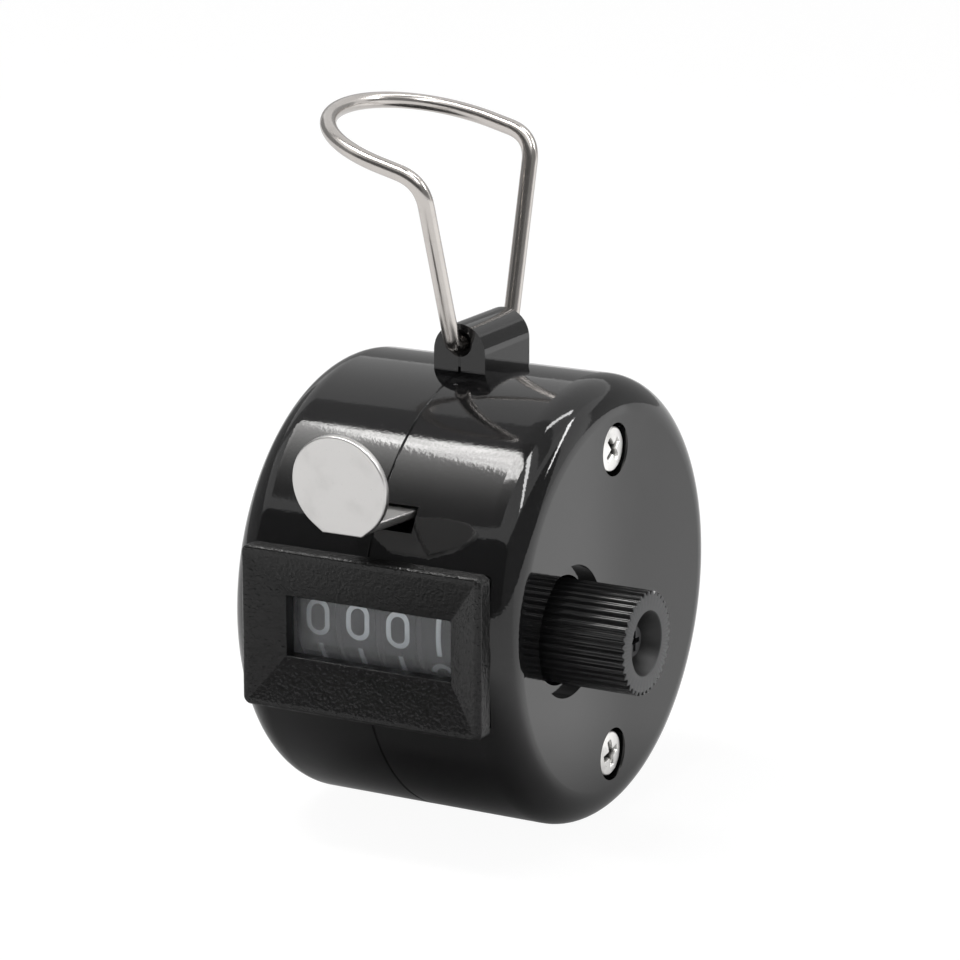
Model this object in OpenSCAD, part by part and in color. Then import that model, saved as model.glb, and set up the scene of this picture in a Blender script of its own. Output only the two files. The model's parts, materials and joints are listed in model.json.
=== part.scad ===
// Hand tally counter: a drum-shaped case with a four-wheel register behind a window,
// a thumb lever, a reset knob and a folding finger ring. Millimetres, +Z up.
// X runs along the drum's axis from the centre of its flat left face, and the display faces -Y.

/* [Case] */
// Radius of the drum
drum_r = 22; // [21.5:0.5:24]
// Width of the drum along its axis
drum_w = 30.6; // [30:0.2:34]
// Round of the drum's right edge
drum_edge_r = 3.5; // [2.5:0.1:4]
// Round of the drum's left edge
left_edge_r = 3.6; // [2.5:0.1:4]
// Wall of the two half shells
wall = 1.8; // [1.4:0.1:2]
// Depth of the groove that marks the seam between the shells
seam_groove = 0.15; // [0.1:0.05:0.3]
// Distance of the case screws from the drum's rim
screw_inset = 6.75; // [6.5:0.05:7]
// Radius of the case screws' shank
screw_r = 1.15; // [1:0.05:1.3]
// Radius of the case screws' head
screw_head_r = 2.2; // [2.1:0.05:2.4]
// Depth of the screw heads' seat below the right face
screw_seat = 2.1; // [1.8:0.05:2.4]

/* [Finger ring] */
// Diameter of the ring's wire
wire_d = 1.6; // [1.2:0.1:1.8]
// Width of the lug that holds the ring
lug_w = 5.6; // [5:0.1:6.5]
// Length of the lug
lug_len = 9; // [8:0.5:11]
// Middle of the lug behind the drum's axis
lug_y = 1.4; // [0:0.1:2]
// Height of the ring's axis above the drum
ring_rise = 2.6; // [2.4:0.1:3.2]
// Height of the shoulders above the ring's axis
leg_rise = 17.2; // [14:0.2:22]
// Radius of the round end of the loop
loop_r = 10.75; // [9:0.25:13]
// Straight run from the shoulders to the round end
loop_run = 4.6; // [2:0.2:8]
// Slope of the loop above the horizontal
loop_tilt = 15; // [0:1:30]
// Roll of the loop about its length, back side up
loop_roll = 3.5; // [0:0.5:5]

/* [Window frame] */
// Width of the window frame
bezel_w = 25.8; // [24:0.2:26]
// Height of the window frame
bezel_h = 15.7; // [14:0.1:17]
// Middle of the window frame to the right of the seam
bezel_x = 0.6; // [0.2:0.1:0.8]
// Middle of the window frame above the drum's axis
bezel_z = 0.05; // [0:0.01:0.5]
// Height of the frame's rim in front of the drum
bezel_out = 1.4; // [1.3:0.1:2]
// Thickness of the frame's face plate
bezel_t = 1.8; // [1.6:0.1:2]
// Fall of the frame's face from the rim to the window
funnel_depth = 1.5; // [1.2:0.1:1.6]
// Width of the window
window_w = 17.8; // [16.5:0.1:18.5]
// Height of the window
window_h = 5.9; // [5:0.1:6.6]
// Thickness of the clear lens
lens_t = 1; // [0.8:0.1:1.2]
// Depth of the lens behind the window's front edge
lens_in = 1.4; // [1.2:0.1:2]

/* [Register] */
// Radius of the number wheels
wheel_r = 7.4; // [7:0.1:7.6]
// Spacing of the number wheels
wheel_pitch = 4.4; // [4.3:0.05:4.5]
// Width of a number band
band_w = 3.7; // [3.6:0.05:3.75]
// Extra width of the highest wheel's band on its left
end_band = 0.6; // [0:0.1:0.7]
// Gap between the drum's front and the wheels
wheel_front_gap = 5.6; // [5.2:0.1:6]
// Height of the wheels' axis above the drum's axis
axis_z = -0.5; // [-0.8:0.1:0]
// Middle of the wheels to the right of the seam
stack_x = -1.5; // [-1.6:0.05:-1]
// Radius of the wheel shaft
shaft_r = 1.3; // [1.2:0.05:1.4]
// Thickness of the movement's side plates
plate_t = 0.8; // [0.6:0.1:0.9]
// Tip radius of the ratchet wheel
ratchet_r = 6; // [5:0.1:6.2]

/* [Thumb lever] */
// Diameter of the thumb pad
pad_d = 9.9; // [8.5:0.1:11]
// Height of the pad's middle above the fold
pad_rise = 4.65; // [4.6:0.05:5.5]
// Thickness of the lever's sheet metal
sheet = 0.8; // [0.6:0.1:0.9]
// Reach of the pad's face in front of the drum
pad_reach = 4.6; // [4:0.1:6]
// Height of the lever arm's top face above the drum's axis
arm_z = 12.05; // [11.9:0.05:12.1]
// Width of the lever at its fold
neck_w = 4.2; // [3.6:0.1:5]
// Width of the lever at the slot
arm_w = 6.2; // [5:0.1:6.4]
// Middle of the lever to the right of the seam
lever_x = 0.7; // [0.5:0.1:1]
// Travel of the lever below its rest, at the slot
slot_play = 1.15; // [1:0.05:1.3]
// Radius of the lever's pivot pin
pivot_r = 0.75; // [0.6:0.05:0.8]

/* [Reset knob] */
// Radius of the knob over its ridges
knob_r = 5; // [4.5:0.1:5.5]
// Reach of the knob beyond the right face
knob_reach = 8; // [6:0.2:10]
// Number of ridges round the knob
knob_ridges = 38; // [30:1:44]
// Radius of the hollow in the knob's end
knob_hollow_r = 3.3; // [3:0.1:3.6]
// Width of the sunk ring round the knob
knob_ring_w = 1.4; // [1.2:0.1:1.6]

/* [Hidden] */
$fn = 64;

// Clearances: running fits, pieces that are put together, cuts that overshoot, solids that overlap to join
run = 0.05;
fit = 0.1;
eps = 0.5;
lap = 0.01;

// Case
seam_x = drum_w / 2;
inner_r = drum_r - wall;
screw_z = drum_r - screw_inset;
head_gap = 0.4;
boss_r = screw_head_r + head_gap + 0.7;
left_boss_r = boss_r - 0.3;
screw_seat_x = drum_w - screw_seat;
screw_len = 18;
lug_base_z = drum_r - 0.8 * wall;
ring_z = drum_r + ring_rise;
wire_r = wire_d / 2;

// Register
axis_y = -(drum_r - wheel_front_gap - wheel_r);
axis = [axis_y, axis_z];
stack_mid = seam_x + stack_x;
wheel_x = [for (i = [0:3]) stack_mid + (i - 1.5) * wheel_pitch];
gap_x = [for (i = [0:2]) stack_mid + (i - 1) * wheel_pitch];
stack_left = wheel_x[0] - band_w / 2 - end_band;
stack_right = wheel_x[3] + band_w / 2;
web_t = 0.9;
gear_teeth = 20;
pinion_teeth = 6;
gear_pitch_r = 0.82 * wheel_r;
pinion_pitch_r = gear_pitch_r * pinion_teeth / gear_teeth;
pinion_c = gear_pitch_r - pinion_pitch_r;
gear_module = 2 * gear_pitch_r / gear_teeth;
tooth_in = 0.6 * gear_module;
tooth_out = 1.26 * gear_module;
tooth_tip_w = 0.35 * gear_module;
tooth_root_w = 0.66 * gear_module;
gear_tip_r = gear_pitch_r - tooth_in;
gear_root_r = gear_pitch_r + tooth_out;
pinion_tip_r = pinion_pitch_r + 0.73 * gear_module;
pinion_root_r = pinion_pitch_r - gear_module;
journal_r = pinion_root_r - 0.2;
hub_r = shaft_r + 0.4;
disc_t = 0.5;
disc_r = wheel_r - 0.1;
carry_t = 0.45;
rod_r = 0.8;
rod_angle = -100;
rod_c = wheel_r + 1.9;
rod_eye_r = rod_r + 0.8;
rod_p = axis + rod_c * [cos(rod_angle), sin(rod_angle)];

// Side plates, ratchet and shaft
left_plate_x = stack_left - 0.35 - plate_t;
ratchet_x = stack_right + 0.4;
ratchet_t = 0.9;
drive_x = ratchet_x + ratchet_t + 0.1;
right_plate_x = drive_x + sheet + 0.45;
plate_r = inner_r - 0.4;
plate_back = 7.5;
shaft_left = left_plate_x - 1.4;
shaft_gap = 0.4;
left_floor = shaft_left - shaft_gap;
clip_t = 0.5;
clip_x = left_plate_x - fit - clip_t;
clip_groove_r = shaft_r - 0.4;
clip_r = shaft_r + 1.2;
spacer_r = 1.2;
spacer_end_r = 0.8;
spacer_end = 0.4;
spacer_p = [[4, 9.5], [4.5, -9]];

// Lever
ear_r = pivot_r + 0.75;
pivot_c = inner_r - ear_r - 0.46;
pivot_angle = 134.6;
pivot_p = pivot_c * [cos(pivot_angle), sin(pivot_angle)];
lever_mid = seam_x + lever_x;
fold_y = -(drum_r + pad_reach - sheet);
pad_c = arm_z - sheet + pad_rise;
pad_lean = 7;
slot_gap = 0.3;
slot_top = arm_z + slot_gap;
slot_bottom = arm_z - sheet - slot_play;
slot_w = arm_w + 0.5;
arm_back = pivot_p[0] + ear_r;
strip_front = pivot_p[0] - 2.2;
pawl_p = axis + [ratchet_r + 3.5, 3];
pawl_tip = axis + [ratchet_r + 0.45, -0.1];
pawl_pin_r = 0.5;
pawl_hub_r = 1.2;
drive_w = 2.2;

// Knob
knob_hole_r = knob_r + 0.3;
knob_sunk_r = knob_r + knob_ring_w;
knob_sunk = 1;
knob_x = right_plate_x + plate_t + 0.2;
knob_end = drum_w + knob_reach;
knob_floor = knob_end - 2.2;
shaft_right = knob_floor - 0.7;
knob_screw_r = 0.7;
knob_screw_len = 3.5;
knob_screw_head_r = 1.4;

// Window frame
bezel_mid = seam_x + bezel_x;
bezel_front = drum_r + bezel_out;
bezel_back = bezel_front - bezel_t;
bezel_plug = 0.5;
bezel_corner = 0.8;
bezel_chamfer = 0.2;
bezel_rim = 0.5;
plug_corner = 0.5;
rim_in = 2 * (bezel_chamfer + bezel_rim);
lens_front = bezel_front - funnel_depth - lens_in;
plug_depth = lens_front - lens_t - 0.3;
lens_lap = 0.8;

// Draws its children in the Y,Z plane about the point p and extrudes them along +X from x
module along_x(x, p = [0, 0]) {
    translate([x, p[0], p[1]]) rotate([90, 0, 90]) children();
}

// Draws its children in the X,Z plane about (x, z) and extrudes them towards -Y from y
module along_y(x, y, z) {
    translate([x, y, z]) rotate([90, 0, 0]) children();
}

module rod_x(x0, x1, p, r) {
    along_x(x0, p) cylinder(h = x1 - x0, r = r);
}

// Rectangle with rounded corners, centred
module round_rect(w, h, r) {
    square([w - 2 * r, h], center = true);
    square([w, h - 2 * r], center = true);
    for (sx = [-1, 1], sy = [-1, 1])
        translate([sx * (w / 2 - r), sy * (h / 2 - r)]) circle(r, $fn = 32);
}

// Half of a drum's section: radius across, distance from the flat face up
module drum_section(r, edge, depth) {
    square([r - edge, depth]);
    translate([0, edge]) square([r, depth - edge]);
    translate([r - edge, edge]) circle(edge);
}

// Left half of the case with the given edge and floor: hollow drum half with half of the lug
module half_case(edge, floor_t) {
    difference() {
        union() {
            along_x(0) rotate_extrude() drum_section(drum_r, edge, seam_x);
            translate([seam_x, lug_y + lug_len / 2, 0]) rotate([90, 0, 0]) linear_extrude(lug_len) half_lug();
        }
        along_x(floor_t) rotate_extrude()
            drum_section(inner_r, max(edge - wall, 0.5), seam_x - floor_t + eps);
        along_x(seam_x - seam_groove) rotate_extrude()
            polygon([[drum_r + eps, 0], [drum_r, 0], [drum_r - seam_groove, seam_groove],
                [drum_r - seam_groove, seam_groove + eps], [drum_r + eps, seam_groove + eps]]);
        ring_bore();
    }
}

// Left half of the lug's arched section
module half_lug() {
    intersection() {
        union() {
            translate([0, ring_z - 0.9]) circle(lug_w / 2);
            translate([-lug_w / 2, lug_base_z]) square([lug_w, ring_z - 0.9 - lug_base_z]);
        }
        translate([-lug_w, lug_base_z]) square([lug_w, 3 * ring_rise + lug_w]);
    }
}

// Bore through the lug for the ring's two pins, with coned mouths
module ring_bore() {
    mouth = 0.5;
    translate([seam_x, lug_y, ring_z]) rotate([90, 0, 0]) {
        cylinder(h = lug_len + 2 * eps, r = wire_r + run, center = true);
        for (s = [0, 1]) mirror([0, 0, s]) translate([0, 0, lug_len / 2 - mouth])
            cylinder(h = mouth + eps, r1 = wire_r + run, r2 = wire_r + run + mouth + eps);
    }
}

// Slot for the lever and opening for the window frame through the front wall, and the frame's flat seat
module front_openings() {
    translate([lever_mid - slot_w / 2, -drum_r - eps, slot_bottom])
        cube([slot_w, 0.3 * drum_r, slot_top - slot_bottom]);
    along_y(bezel_mid, -0.78 * drum_r, bezel_z) linear_extrude(0.3 * drum_r)
        round_rect(bezel_w - 2 * bezel_plug + 2 * fit, bezel_h - 2 * bezel_plug + 2 * fit, plug_corner + fit);
    along_y(bezel_mid, -(bezel_back - run), bezel_z) linear_extrude(bezel_t + bezel_out)
        round_rect(bezel_w + 2 * fit, bezel_h + 2 * fit, bezel_corner + fit);
}

module left_shell() {
    color([0.05, 0.05, 0.055]) difference() {
        union() {
            half_case(left_edge_r, left_floor);
            for (s = [-1, 1]) rod_x(left_floor / 2, seam_x, [0, s * screw_z], left_boss_r);
        }
        for (s = [-1, 1]) rod_x(screw_seat_x - screw_len - 1, seam_x + eps, [0, s * screw_z], screw_r + run);
        front_openings();
    }
}

module right_shell() {
    color([0.05, 0.05, 0.055]) difference() {
        union() {
            translate([drum_w, 0, 0]) mirror([1, 0, 0]) half_case(drum_edge_r, wall);
            for (s = [-1, 1]) rod_x(seam_x, drum_w - wall / 2, [0, s * screw_z], boss_r);
        }
        for (s = [-1, 1]) {
            rod_x(seam_x - eps, drum_w, [0, s * screw_z], screw_r + fit);
            rod_x(screw_seat_x, drum_w + eps, [0, s * screw_z], screw_head_r + head_gap);
        }
        rod_x(drum_w - 2 * wall, drum_w, axis, knob_hole_r);
        rod_x(drum_w - knob_sunk, drum_w + eps, axis, knob_sunk_r);
        front_openings();
    }
}

// Cross recess of a screw, cut along -X from the face at x
module cross_recess(x, p, span, depth) {
    for (a = [0, 90]) translate([x - depth, p[0], p[1]]) rotate([a, 0, 0])
        translate([0, -span / 2, -span / 8]) cube([depth + eps, span, span / 4]);
}

module housing_screws() {
    color([0.8, 0.8, 0.78]) for (s = [-1, 1]) {
        p = [0, s * screw_z];
        head_t = 1.5;
        crown = 0.25;
        difference() {
            union() {
                rod_x(screw_seat_x - screw_len, screw_seat_x + eps, p, screw_r);
                rod_x(screw_seat_x, screw_seat_x + head_t - crown, p, screw_head_r);
                along_x(screw_seat_x + head_t - crown, p)
                    cylinder(h = crown, r1 = screw_head_r, r2 = screw_head_r - crown);
            }
            cross_recess(screw_seat_x + head_t, p, 1.4 * screw_head_r, 0.9);
        }
    }
}

// Finger ring: the bent wire's route from the front pin to the back pin
foot_gap = 0.5;
foot_y = [lug_y - lug_len / 2 - foot_gap - wire_r, lug_y + lug_len / 2 + foot_gap + wire_r];
loop_along = [-cos(loop_tilt), 0, sin(loop_tilt)];
loop_up = [sin(loop_tilt), 0, cos(loop_tilt)];
loop_across = cos(loop_roll) * [0, 1, 0] + sin(loop_roll) * loop_up;
shoulder_mid = [seam_x - 0.4, lug_y, ring_z + leg_rise];
shoulder = [for (s = [-1, 1]) shoulder_mid + s * loop_r * loop_across];
foot = [for (i = [0, 1]) [seam_x, foot_y[i], ring_z]];
loop_steps = 24;
loop_arc = [for (i = [0:loop_steps]) let (a = -90 + 180 * i / loop_steps)
    shoulder_mid + (loop_run + loop_r * cos(a)) * loop_along + loop_r * sin(a) * loop_across];

function unit(v) = v / norm(v);
// Corner b between a and c, rounded with a quadratic curve that starts at the cut distance
function bend(a, b, c, cut, n) = let (p = b + cut * unit(a - b), q = b + cut * unit(c - b))
    [for (i = [0:n]) let (t = i / n) (1 - t) * (1 - t) * p + 2 * t * (1 - t) * b + t * t * q];
pin_start = [for (i = [0, 1]) [seam_x, foot_y[i] + (i == 0 ? 1 : -1) * 0.9, ring_z]];
foot_cut = 0.8;
shoulder_cut = 3.6;
ring_route = concat(
    [pin_start[0]],
    bend(pin_start[0], foot[0], shoulder[0], foot_cut, 4),
    bend(foot[0], shoulder[0], loop_arc[0], shoulder_cut, 8),
    loop_arc,
    bend(loop_arc[loop_steps], shoulder[1], foot[1], shoulder_cut, 8),
    bend(shoulder[1], foot[1], pin_start[1], foot_cut, 4),
    [pin_start[1]]);

function cross3(a, b) = [a[1] * b[2] - a[2] * b[1], a[2] * b[0] - a[0] * b[2], a[0] * b[1] - a[1] * b[0]];
// Direction of a route at each of its points
function headings(r) = let (n = len(r)) [for (i = [0:n - 1]) unit(r[min(i + 1, n - 1)] - r[max(i - 1, 0)])];
// Side vectors carried along the route without twist
function sides(h, i, v) = i >= len(h) ? [] :
    let (w = unit(v - (v * h[i]) * h[i])) concat([w], sides(h, i + 1, w));
// Closed round tube of radius r along a route, with n sides
module tube(route, r, n, first_side) {
    h = headings(route);
    s = sides(h, 0, first_side);
    m = len(route);
    pts = [for (i = [0:m - 1]) let (t = cross3(h[i], s[i])) for (k = [0:n - 1])
        route[i] + r * (cos(360 * k / n) * s[i] + sin(360 * k / n) * t)];
    walls = [for (i = [0:m - 2], k = [0:n - 1]) let (j = (k + 1) % n, a = i * n + k, b = i * n + j)
        each [[a, a + n, b], [b, a + n, b + n]]];
    caps = [for (k = [1:n - 2]) each [[0, k, k + 1], [(m - 1) * n, (m - 1) * n + k + 1, (m - 1) * n + k]]];
    polyhedron(points = pts, faces = concat(walls, caps));
}

// The bent wire, whose round pins start inside the ends of the flat-sided tube
module finger_ring() {
    pin_in = 3.3;
    pin_lap = 0.3;
    wire_sides = 12;
    flats_r = 1.06 * wire_r;
    color([0.75, 0.74, 0.72]) union() {
        tube(ring_route, flats_r, wire_sides, [1, 0, 0]);
        for (i = [0, 1]) translate(pin_start[i]) rotate([i == 0 ? -90 : 90, 0, 0])
            translate([0, 0, -pin_lap]) cylinder(h = pin_in + pin_lap, r = wire_r);
    }
}

module front_bezel() {
    color([0.09, 0.09, 0.09]) difference() {
        union() {
            hull() {
                along_y(bezel_mid, -bezel_back, bezel_z) linear_extrude(bezel_t - bezel_chamfer)
                    round_rect(bezel_w, bezel_h, bezel_corner);
                along_y(bezel_mid, -bezel_back, bezel_z) linear_extrude(bezel_t)
                    round_rect(bezel_w - 2 * bezel_chamfer, bezel_h - 2 * bezel_chamfer,
                        bezel_corner - bezel_chamfer);
            }
            along_y(bezel_mid, -plug_depth, bezel_z) linear_extrude(bezel_back - plug_depth)
                round_rect(bezel_w - 2 * bezel_plug, bezel_h - 2 * bezel_plug, plug_corner);
        }
        hull() {
            along_y(bezel_mid, -(bezel_front - funnel_depth), bezel_z) linear_extrude(lap)
                square([window_w, window_h], center = true);
            along_y(bezel_mid, -bezel_front, bezel_z) linear_extrude(lap)
                square([bezel_w - rim_in, bezel_h - rim_in], center = true);
        }
        along_y(bezel_mid, -plug_depth + eps, bezel_z) linear_extrude(bezel_front)
            square([window_w, window_h], center = true);
        along_y(bezel_mid, -plug_depth + eps, bezel_z) linear_extrude(lens_front - plug_depth + eps)
            square([window_w + 2 * lens_lap, window_h + 2 * lens_lap], center = true);
    }
}

module window_lens() {
    color([0.7, 0.75, 0.78, 0.4]) along_y(bezel_mid, -lens_front + lens_t, bezel_z) linear_extrude(lens_t)
        square([window_w + 2 * lens_lap - 2 * fit, window_h + 2 * lens_lap - 2 * fit], center = true);
}

// Tooth that points along +X from r0 to r1, with half widths w0 and w1
module tooth(r0, r1, w0, w1) {
    polygon([[r0, -w0], [r1, -w1], [r1, w1], [r0, w0]]);
}

// Section of the hollow beside a wheel's web: ring, less its inward teeth and the hub
module wheel_hollow(teeth) {
    difference() {
        circle(gear_root_r);
        circle(hub_r);
        if (teeth > 0) for (i = [0:teeth - 1]) rotate((i + 0.5) * 360 / teeth)
            tooth(gear_tip_r, gear_root_r + 0.1, tooth_tip_w, tooth_root_w);
    }
}

// Number wheel: band, web and hub, with a ring of inner teeth on the right and a pair of
// carry teeth on the left where they are wanted
module number_wheel(x, gear, carry, extra = 0) {
    half = band_w / 2;
    color([0.16, 0.165, 0.17]) difference() {
        union() {
            difference() {
                rod_x(x - half - extra, x + half, axis, wheel_r);
                if (gear) along_x(x + web_t / 2, axis) linear_extrude(band_w) wheel_hollow(gear_teeth);
                if (carry) along_x(x - half - eps, axis) linear_extrude(half - web_t / 2 + eps)
                    wheel_hollow(0);
            }
            if (carry) along_x(x - web_t / 2 - carry_t, axis) linear_extrude(carry_t + 0.1)
                for (a = [171, 189]) rotate(a) tooth(gear_tip_r, gear_root_r + 0.1, tooth_tip_w, tooth_root_w);
        }
        rod_x(x - half - extra - eps, x + half + eps, axis, shaft_r + run);
    }
}

module units_wheel() { number_wheel(wheel_x[3], false, true); }
module tens_wheel() { number_wheel(wheel_x[2], true, true); }
module hundreds_wheel() { number_wheel(wheel_x[1], true, true); }
module thousands_wheel() { number_wheel(wheel_x[0], true, false, end_band); }

// Fixed disc between two wheels that carries a pinion in a snap slot and is held by the rod
module carrier_plate(x) {
    color([0.12, 0.12, 0.125]) along_x(x - disc_t / 2, axis) linear_extrude(disc_t) difference() {
        union() {
            circle(disc_r);
            rotate(rod_angle) translate([0, -rod_eye_r]) square([rod_c, 2 * rod_eye_r]);
            rotate(rod_angle) translate([rod_c, 0]) circle(rod_eye_r);
        }
        circle(shaft_r + fit);
        translate([pinion_c, 0]) circle(journal_r + run);
        translate([pinion_c, -0.9 * journal_r]) square([wheel_r, 1.8 * journal_r]);
        rotate(rod_angle) translate([rod_c, 0]) circle(rod_r + run);
    }
}

module carrier_plate_1() { carrier_plate(gap_x[0]); }
module carrier_plate_2() { carrier_plate(gap_x[1]); }
module carrier_plate_3() { carrier_plate(gap_x[2]); }

// Section of a pinion with every step-th of its teeth
module pinion_section(step) {
    circle(pinion_root_r);
    for (i = [0:step:pinion_teeth - 1]) rotate(i * 360 / pinion_teeth)
        tooth(pinion_root_r - 0.2, pinion_tip_r, tooth_root_w, tooth_tip_w);
}

// Transfer pinion: all teeth towards the higher wheel, every second one towards the lower
module transfer_pinion(x) {
    p = axis + [pinion_c, 0];
    shoulder = wheel_pitch / 2 - band_w / 2;
    higher = wheel_pitch / 2 - web_t / 2 - 0.25;
    lower = wheel_pitch / 2 - web_t / 2 - carry_t - 0.25;
    color([0.85, 0.84, 0.8]) {
        along_x(x - higher, p) linear_extrude(higher - shoulder) pinion_section(1);
        rod_x(x - shoulder - lap, x + shoulder + lap, p, journal_r);
        along_x(x + shoulder, p) linear_extrude(lower - shoulder) pinion_section(2);
    }
}

module transfer_pinion_1() { transfer_pinion(gap_x[0]); }
module transfer_pinion_2() { transfer_pinion(gap_x[1]); }
module transfer_pinion_3() { transfer_pinion(gap_x[2]); }

module carrier_rod() {
    color([0.7, 0.7, 0.7]) rod_x(left_plate_x - 0.5, right_plate_x + plate_t + 0.15, rod_p, rod_r);
}

// Ratchet wheel with saw teeth, seated on the units wheel's right face
module ratchet_wheel() {
    n = 10;
    root_r = ratchet_r - 1.3;
    undercut = 0.12;
    color([0.72, 0.6, 0.33]) difference() {
        union() {
            rod_x(stack_right, ratchet_x + 0.1, axis, root_r - 0.6);
            along_x(ratchet_x, axis) linear_extrude(ratchet_t)
                polygon([for (i = [0:n - 1], k = [0, 1]) let (a = (i + undercut * k) * 360 / n)
                    (k == 0 ? ratchet_r : root_r) * [cos(a), sin(a)]]);
        }
        rod_x(stack_right - eps, ratchet_x + ratchet_t + eps, axis, shaft_r + run);
    }
}

module wheel_shaft() {
    groove = 0.5;
    color([0.7, 0.7, 0.7]) difference() {
        rod_x(shaft_left, shaft_right, axis, shaft_r);
        difference() {
            rod_x(clip_x - fit / 2, clip_x + clip_t + fit / 2, axis, shaft_r + eps);
            rod_x(clip_x - eps, clip_x + clip_t + eps, axis, clip_groove_r);
        }
        translate([stack_left - 0.2, axis_y - groove / 2, axis_z + shaft_r - groove])
            cube([stack_right - stack_left + 0.4, groove, shaft_r]);
        rod_x(shaft_right - knob_screw_len - eps, shaft_right + eps, axis, knob_screw_r + run);
    }
}

// Spring clip in the groove at the shaft's left end
module shaft_clip() {
    color([0.55, 0.55, 0.55]) along_x(clip_x, axis) linear_extrude(clip_t) difference() {
        circle(clip_r);
        circle(clip_groove_r + run);
        translate([0, -0.85 * clip_groove_r]) square([clip_r + eps, 1.7 * clip_groove_r]);
    }
}

module shaft_bush() {
    color([0.72, 0.6, 0.33]) difference() {
        rod_x(ratchet_x + ratchet_t + fit, right_plate_x - fit, axis, shaft_r + 0.9);
        rod_x(ratchet_x, right_plate_x + eps, axis, shaft_r + run);
    }
}

// Section of the knob's ridged skirt
module ridges() {
    n = knob_ridges;
    depth = 0.35;
    polygon([for (i = [0:n - 1], k = [0:3]) let (a = (i + [0.06, 0.44, 0.6, 0.9][k]) * 360 / n,
        r = k < 2 ? knob_r : knob_r - depth) r * [cos(a), sin(a)]]);
}

module reset_knob() {
    color([0.06, 0.06, 0.065]) difference() {
        union() {
            rod_x(knob_x, drum_w - knob_sunk, axis, knob_r - 0.4);
            along_x(drum_w - knob_sunk - lap, axis)
                linear_extrude(knob_end - drum_w + knob_sunk + lap) ridges();
        }
        rod_x(knob_x - eps, shaft_right + fit, axis, shaft_r + run / 2);
        rod_x(shaft_right, knob_floor + eps, axis, knob_screw_r + fit);
        along_x(knob_floor, axis)
            cylinder(h = knob_end - knob_floor + lap, r1 = knob_hollow_r - 0.9, r2 = knob_hollow_r);
    }
}

module knob_screw() {
    head_t = 0.9;
    color([0.3, 0.3, 0.3]) difference() {
        union() {
            rod_x(shaft_right - knob_screw_len, knob_floor + fit, axis, knob_screw_r);
            rod_x(knob_floor, knob_floor + head_t, axis, knob_screw_head_r);
        }
        cross_recess(knob_floor + head_t, axis, 1.4 * knob_screw_head_r, 0.5);
    }
}

// Side plate of the movement, pierced for the shaft, rods, pivot and case bosses
module frame_plate(x, post_r) {
    color([0.62, 0.63, 0.64]) along_x(x) linear_extrude(plate_t) difference() {
        intersection() {
            circle(plate_r);
            translate([-0.76 * drum_r, -drum_r]) square([0.76 * drum_r + plate_back, 2 * drum_r]);
        }
        translate(axis) circle(shaft_r + run);
        translate(pivot_p) circle(pivot_r + run / 2);
        translate(rod_p) circle(rod_r + run);
        for (p = spacer_p) translate(p) circle(spacer_end_r + run);
        for (s = [-1, 1]) translate([0, s * screw_z]) circle(post_r + fit);
        translate(anchor_p) circle(spring_wire_r + fit);
    }
}

module left_frame_plate() { frame_plate(left_plate_x, left_boss_r); }
module right_frame_plate() { frame_plate(right_plate_x, boss_r); }

module frame_spacers() {
    color([0.7, 0.7, 0.7]) for (p = spacer_p) {
        rod_x(left_plate_x - spacer_end, right_plate_x + plate_t + spacer_end, p, spacer_end_r);
        rod_x(left_plate_x + plate_t, right_plate_x, p, spacer_r);
    }
}

// Outline of the thumb pad above the fold: a disc drawn down by tangents to the neck
module pad_outline() {
    r = pad_d / 2;
    d = norm([neck_w / 2, pad_rise]);
    a = atan2(-pad_rise, neck_w / 2) + acos(min(r / d, 1));
    t = r * [cos(a), sin(a)];
    difference() {
        union() {
            circle(r);
            polygon([[neck_w / 2, -pad_rise], t, [-t[0], t[1]], [-neck_w / 2, -pad_rise]]);
        }
        translate([-r, -2 * r]) square([2 * r, 2 * r - pad_rise + sheet]);
    }
}

// Thumb lever: one stamping with the pad, the arm through the slot, two pivot ears and the drive arm
module thumb_lever() {
    arm_front = -sqrt(drum_r * drum_r - arm_z * arm_z);
    reach = norm(pawl_p - pivot_p);
    turn = atan2(pawl_p[1] - pivot_p[1], pawl_p[0] - pivot_p[0]);
    left_x = lever_mid - arm_w / 2;
    color([0.78, 0.78, 0.77]) difference() {
        union() {
            translate([lever_mid, fold_y, arm_z]) rotate([pad_lean, 0, 0]) translate([0, 0, pad_c - arm_z])
                rotate([90, 0, 0]) linear_extrude(sheet) pad_outline();
            intersection() {
                rod_x(lever_mid - neck_w / 2, lever_mid + neck_w / 2, [fold_y, arm_z], sheet);
                translate([0, fold_y - sheet, arm_z - sheet]) cube([drum_w, sheet + 0.05, sheet + 0.05]);
            }
            translate([lever_mid, 0, arm_z - sheet]) linear_extrude(sheet) {
                polygon([[-neck_w / 2, fold_y], [neck_w / 2, fold_y], [arm_w / 2, arm_front],
                    [arm_w / 2, arm_back], [-arm_w / 2, arm_back], [-arm_w / 2, arm_front]]);
                translate([0, strip_front]) square([drive_x + sheet - lever_mid, arm_back - strip_front]);
            }
            along_x(left_x) linear_extrude(sheet) lever_ear();
            along_x(drive_x) linear_extrude(sheet) {
                lever_ear();
                translate(pivot_p) rotate(turn) translate([0, -drive_w / 2]) square([reach, drive_w]);
                translate(pawl_p) circle(drive_w / 2);
            }
        }
        rod_x(left_x - eps, drive_x + sheet + eps, pivot_p, pivot_r + run);
        rod_x(drive_x - eps, drive_x + sheet + eps, pawl_p, pawl_pin_r + run / 2);
    }
}

// Ear round the pivot pin, down to the arm
module lever_ear() {
    translate(pivot_p) circle(ear_r);
    translate([pivot_p[0] - ear_r, arm_z - sheet]) square([2 * ear_r, pivot_p[1] - arm_z + sheet]);
}

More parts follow.
